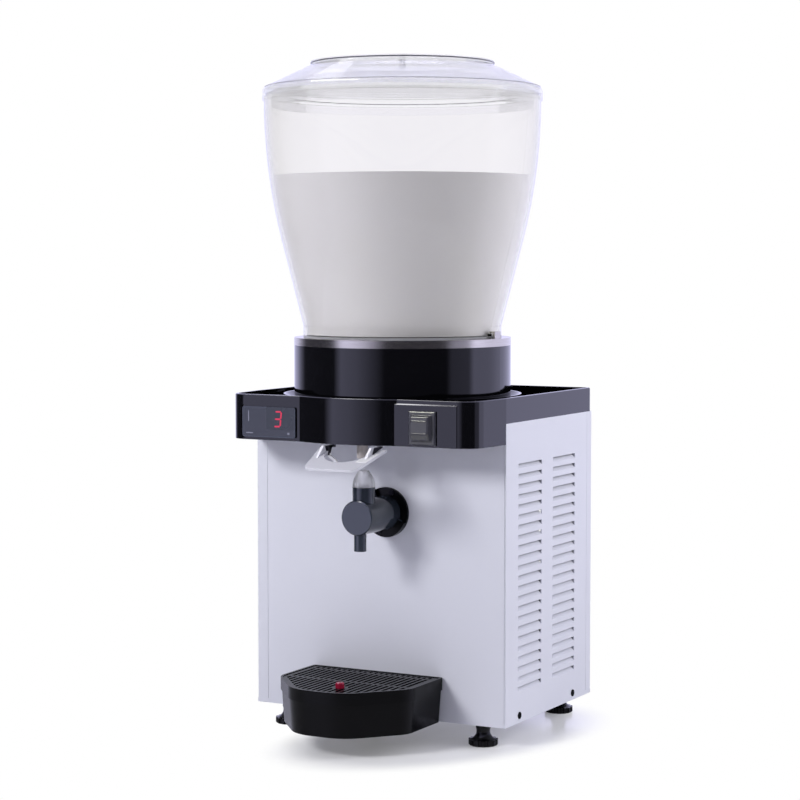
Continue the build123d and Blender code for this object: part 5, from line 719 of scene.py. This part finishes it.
seen_lift = add_node(tree, "ShaderNodeMath", {0: LIFT}, {1: path.outputs["Is Camera Ray"]},
                     operation="MULTIPLY")
glow_up = add_node(tree, "ShaderNodeEmission", {"Color": WHITE}, {"Strength": seen_lift.outputs["Value"]})
lifted = add_node(tree, "ShaderNodeAddShader", {},
                  {0: surface.outputs["BSDF"], 1: glow_up.outputs["Emission"]})
oval = add_node(tree, "ShaderNodeMapping", {"Location": FADE_MIDDLE, "Scale": FADE_HALF,
                                            "Rotation": (0, 0, radians(FADE_TURN))},
                {"Vector": place.outputs["Object"]}, vector_type="TEXTURE")
reach = add_node(tree, "ShaderNodeVectorMath", {}, {0: oval.outputs["Vector"]}, operation="LENGTH")
far = add_node(tree, "ShaderNodeMapRange", {"From Min": FADE_START, "From Max": FADE_END},
               {"Value": reach.outputs["Value"]}, interpolation_type="SMOOTHSTEP")
seen_far = add_node(tree, "ShaderNodeMath", {}, {0: far.outputs["Result"], 1: path.outputs["Is Camera Ray"]},
                    operation="MULTIPLY")
plain = add_node(tree, "ShaderNodeEmission", {"Color": WHITE, "Strength": 1.0})
faded = add_node(tree, "ShaderNodeMixShader", {}, {0: seen_far.outputs["Value"], 1: lifted.outputs["Shader"],
                                                   2: plain.outputs["Emission"]})
end_material(tree, faded.outputs["Shader"])
print("made", board.name)

# %% [markdown]
# ## The board itself
# The board is round and much larger than the machine. It rides on no body of the machine.

# %% Floor
FLOOR_RADIUS = 1.3
FLOOR_SIDES = 96
form = bmesh.new()
bmesh.ops.create_circle(form, cap_ends=True, segments=FLOOR_SIDES, radius=FLOOR_RADIUS)
floor = make_object("floor", form, board)
print("floor radius in m:", FLOOR_RADIUS)

# %% [markdown]
# ## The studio that the black plastic mirrors
# Gloss black has almost no colour of its own, so its look is the room's. The world is therefore a ring of
# walls around the machine, given as turns from the camera in degrees, each with its brightness: white paper
# behind, a dark flag at the left, a soft box at the front left that fades towards the camera, a dark camera
# side, and a bright wall at the right. Only mirrored rays see this ring, with a bright ceiling above it.
# The drink has a ring of its own: light reaches it only through the clear bowl, and rays through clear
# plastic don't see the soft boxes that are set up below.

# %% Rings of walls
CAMERA_YAW = 28.31
WALLS = [(-180, 1.00), (-146, 0.85), (-126, 0.05), (-77, 0.05), (-68, 1.15), (-50, 0.95), (-27, 0.30),
         (-19, 0.04), (47, 0.04), (53, 0.36), (74, 0.42), (81, 1.30), (104, 1.00), (180, 1.00)]
DRINK_WALLS = [(-180, 0.60), (-120, 0.60), (-95, 0.40), (-75, 1.20), (-55, 2.30), (-42, 1.20),
               (-20, 0.80), (3, 0.00), (30, 0.00), (45, 0.40), (62, 0.45), (80, 1.80), (95, 3.20),
               (115, 2.00), (140, 0.80), (180, 0.60)]
# A ramp holds values up to one, so the walls are divided by this and the light is multiplied by it.
TOP_VALUE = 3.3
world = bpy.data.worlds.new("white_studio")
bpy.context.scene.world = world
world.use_nodes = True
tree = world.node_tree
tree.nodes.clear()
place = add_node(tree, "ShaderNodeTexCoord")
turned_round = add_node(tree, "ShaderNodeVectorRotate", {"Angle": radians(90 - CAMERA_YAW)},
                        {"Vector": place.outputs["Generated"]}, rotation_type="Z_AXIS")
round_about = add_node(tree, "ShaderNodeTexGradient", {}, {"Vector": turned_round.outputs["Vector"]},
                       gradient_type="RADIAL")
rings = []
for walls in (WALLS, DRINK_WALLS):
    ring = add_node(tree, "ShaderNodeValToRGB", {}, {"Fac": round_about.outputs["Fac"]})
    while len(ring.color_ramp.elements) < len(walls):
        ring.color_ramp.elements.new(0.5)
    for stop, (turn, value) in zip(ring.color_ramp.elements, walls):
        stop.position = turn / 360 + 0.5
        stop.color = (value / TOP_VALUE, value / TOP_VALUE, value / TOP_VALUE, 1)
    rings.append(ring)
mirror_ring, drink_ring = rings
print("studio walls:", len(WALLS), "for mirrors,", len(DRINK_WALLS), "for the drink")

# %% [markdown]
# ## Which ray sees what
# Mirrored rays see the ring of walls in a cool light. Matt surfaces see an even fill. The camera, and rays
# through clear plastic, see plain white, apart from those that light the drink.

# %% World
FULL = 1.42
OVERHEAD = 1.85
CEILING_START = 0.45
CEILING_FULL = 0.8
FILL = 0.34
DRINK_FULL = 1.5
# A depth above this means that the ray has bounced, or passed clear plastic, at least once.
ONCE = 0.5
split = add_node(tree, "ShaderNodeSeparateXYZ", {}, {"Vector": place.outputs["Generated"]})
above = add_node(tree, "ShaderNodeMapRange", {"From Min": CEILING_START, "From Max": CEILING_FULL},
                 {"Value": split.outputs["Z"]})
ceiling = OVERHEAD / FULL / TOP_VALUE
room = add_node(tree, "ShaderNodeMix", {SECOND: (ceiling, ceiling, ceiling, 1)},
                {FACTOR: above.outputs["Result"], FIRST: mirror_ring.outputs["Color"]}, data_type="RGBA")
cool = add_node(tree, "ShaderNodeMix", {FACTOR: 1.0, SECOND: linear("#DBDAFF")}, {FIRST: room.outputs[MIXED]},
                data_type="RGBA", blend_type="MULTIPLY")
studio = add_node(tree, "ShaderNodeBackground", {"Strength": FULL * TOP_VALUE},
                  {"Color": cool.outputs[MIXED]})
fill = add_node(tree, "ShaderNodeBackground", {"Color": linear("#EEEEFA"), "Strength": FILL})
path = add_node(tree, "ShaderNodeLightPath")
mirrored = add_node(tree, "ShaderNodeMixShader", {}, {0: path.outputs["Is Glossy Ray"],
                                                      1: fill.outputs["Background"],
                                                      2: studio.outputs["Background"]})
drink_room = add_node(tree, "ShaderNodeMix", {SECOND: linear("#000000")},
                      {FACTOR: above.outputs["Result"], FIRST: drink_ring.outputs["Color"]}, data_type="RGBA")
drink_light = add_node(tree, "ShaderNodeBackground", {"Strength": DRINK_FULL * TOP_VALUE},
                       {"Color": drink_room.outputs[MIXED]})
white = add_node(tree, "ShaderNodeBackground", {"Color": WHITE, "Strength": 1.0})
matt = add_node(tree, "ShaderNodeMath", {1: ONCE}, {0: path.outputs["Diffuse Depth"]},
                operation="GREATER_THAN")
behind_clear = add_node(tree, "ShaderNodeMixShader", {}, {0: matt.outputs["Value"],
                                                          1: white.outputs["Background"],
                                                          2: drink_light.outputs["Background"]})
through = add_node(tree, "ShaderNodeMath", {1: ONCE}, {0: path.outputs["Transmission Depth"]},
                   operation="GREATER_THAN")
plainly = add_node(tree, "ShaderNodeMath", {}, {0: path.outputs["Is Camera Ray"],
                                                1: through.outputs["Value"]}, operation="MAXIMUM")
shown = add_node(tree, "ShaderNodeMixShader", {}, {0: plainly.outputs["Value"], 1: mirrored.outputs["Shader"],
                                                   2: behind_clear.outputs["Shader"]})
add_node(tree, "ShaderNodeOutputWorld", links={"Surface": shown.outputs["Shader"]})
print("mirrors see up to", round(FULL * max(value for turn, value in WALLS), 2), "and matt surfaces", FILL)

# %% [markdown]
# ## Soft boxes
# The fill alone would leave no shadows. A broad box high at the front left is the key light: it shades the
# panel under the overhang. A second one lights the louvred side. Both are hidden from mirrored rays,
# because the ring of walls already stands for them there. A third one, high at the left, is seen by
# mirrored rays only and draws a bright line along the upper edges of the black pieces.

# %% Soft boxes
AIM = Vector((0, 0, 0.35))


def soft_box(name, azimuth, distance, height, width, tall, power):
    """A soft box that stands round the machine at an azimuth in degrees and faces its middle."""
    lamp = bpy.data.lights.new(name, "AREA")
    lamp.shape = "RECTANGLE"
    lamp.size, lamp.size_y, lamp.energy = width, tall, power
    holder = bpy.data.objects.new(name, lamp)
    angle = radians(azimuth)
    holder.location = (distance * sin(angle), -distance * cos(angle), height)
    holder.rotation_euler = (AIM - holder.location).to_track_quat("-Z", "Y").to_euler()
    holder.visible_glossy = False
    holder.visible_transmission = False
    bpy.context.scene.collection.objects.link(holder)
    print("soft box", name, "at", [round(c, 2) for c in holder.location])
    return holder


soft_box("key_box", -24, 1.5, 1.0, 0.5, 0.35, 15.5)
soft_box("side_box", 110, 1.6, 0.9, 1.2, 1.4, 16)
edge_box = soft_box("edge_box", -70, 0.60, 1.66, 0.8, 0.5, 14)
edge_box.visible_glossy, edge_box.visible_diffuse = True, False

# %% [markdown]
# ## Camera
# A long lens from a little above the middle of the machine, turned so that the front and the right side
# both show. The picture uses the plain Standard view, so a colour comes out as it was written.

# %% Camera
LENS = 99.70
SENSOR = 36.0
CAMERA_PLACE = (1.05134, -1.94931, 0.47575)
CAMERA_PITCH = 3.72
lens = bpy.data.cameras.new("camera")
lens.lens, lens.sensor_width = LENS, SENSOR
camera = bpy.data.objects.new("camera", lens)
camera.location = CAMERA_PLACE
camera.rotation_euler = (radians(90 - CAMERA_PITCH), 0, radians(CAMERA_YAW))
bpy.context.scene.collection.objects.link(camera)
bpy.context.scene.camera = camera
bpy.context.scene.view_settings.view_transform = "Standard"
print("camera at", CAMERA_PLACE)
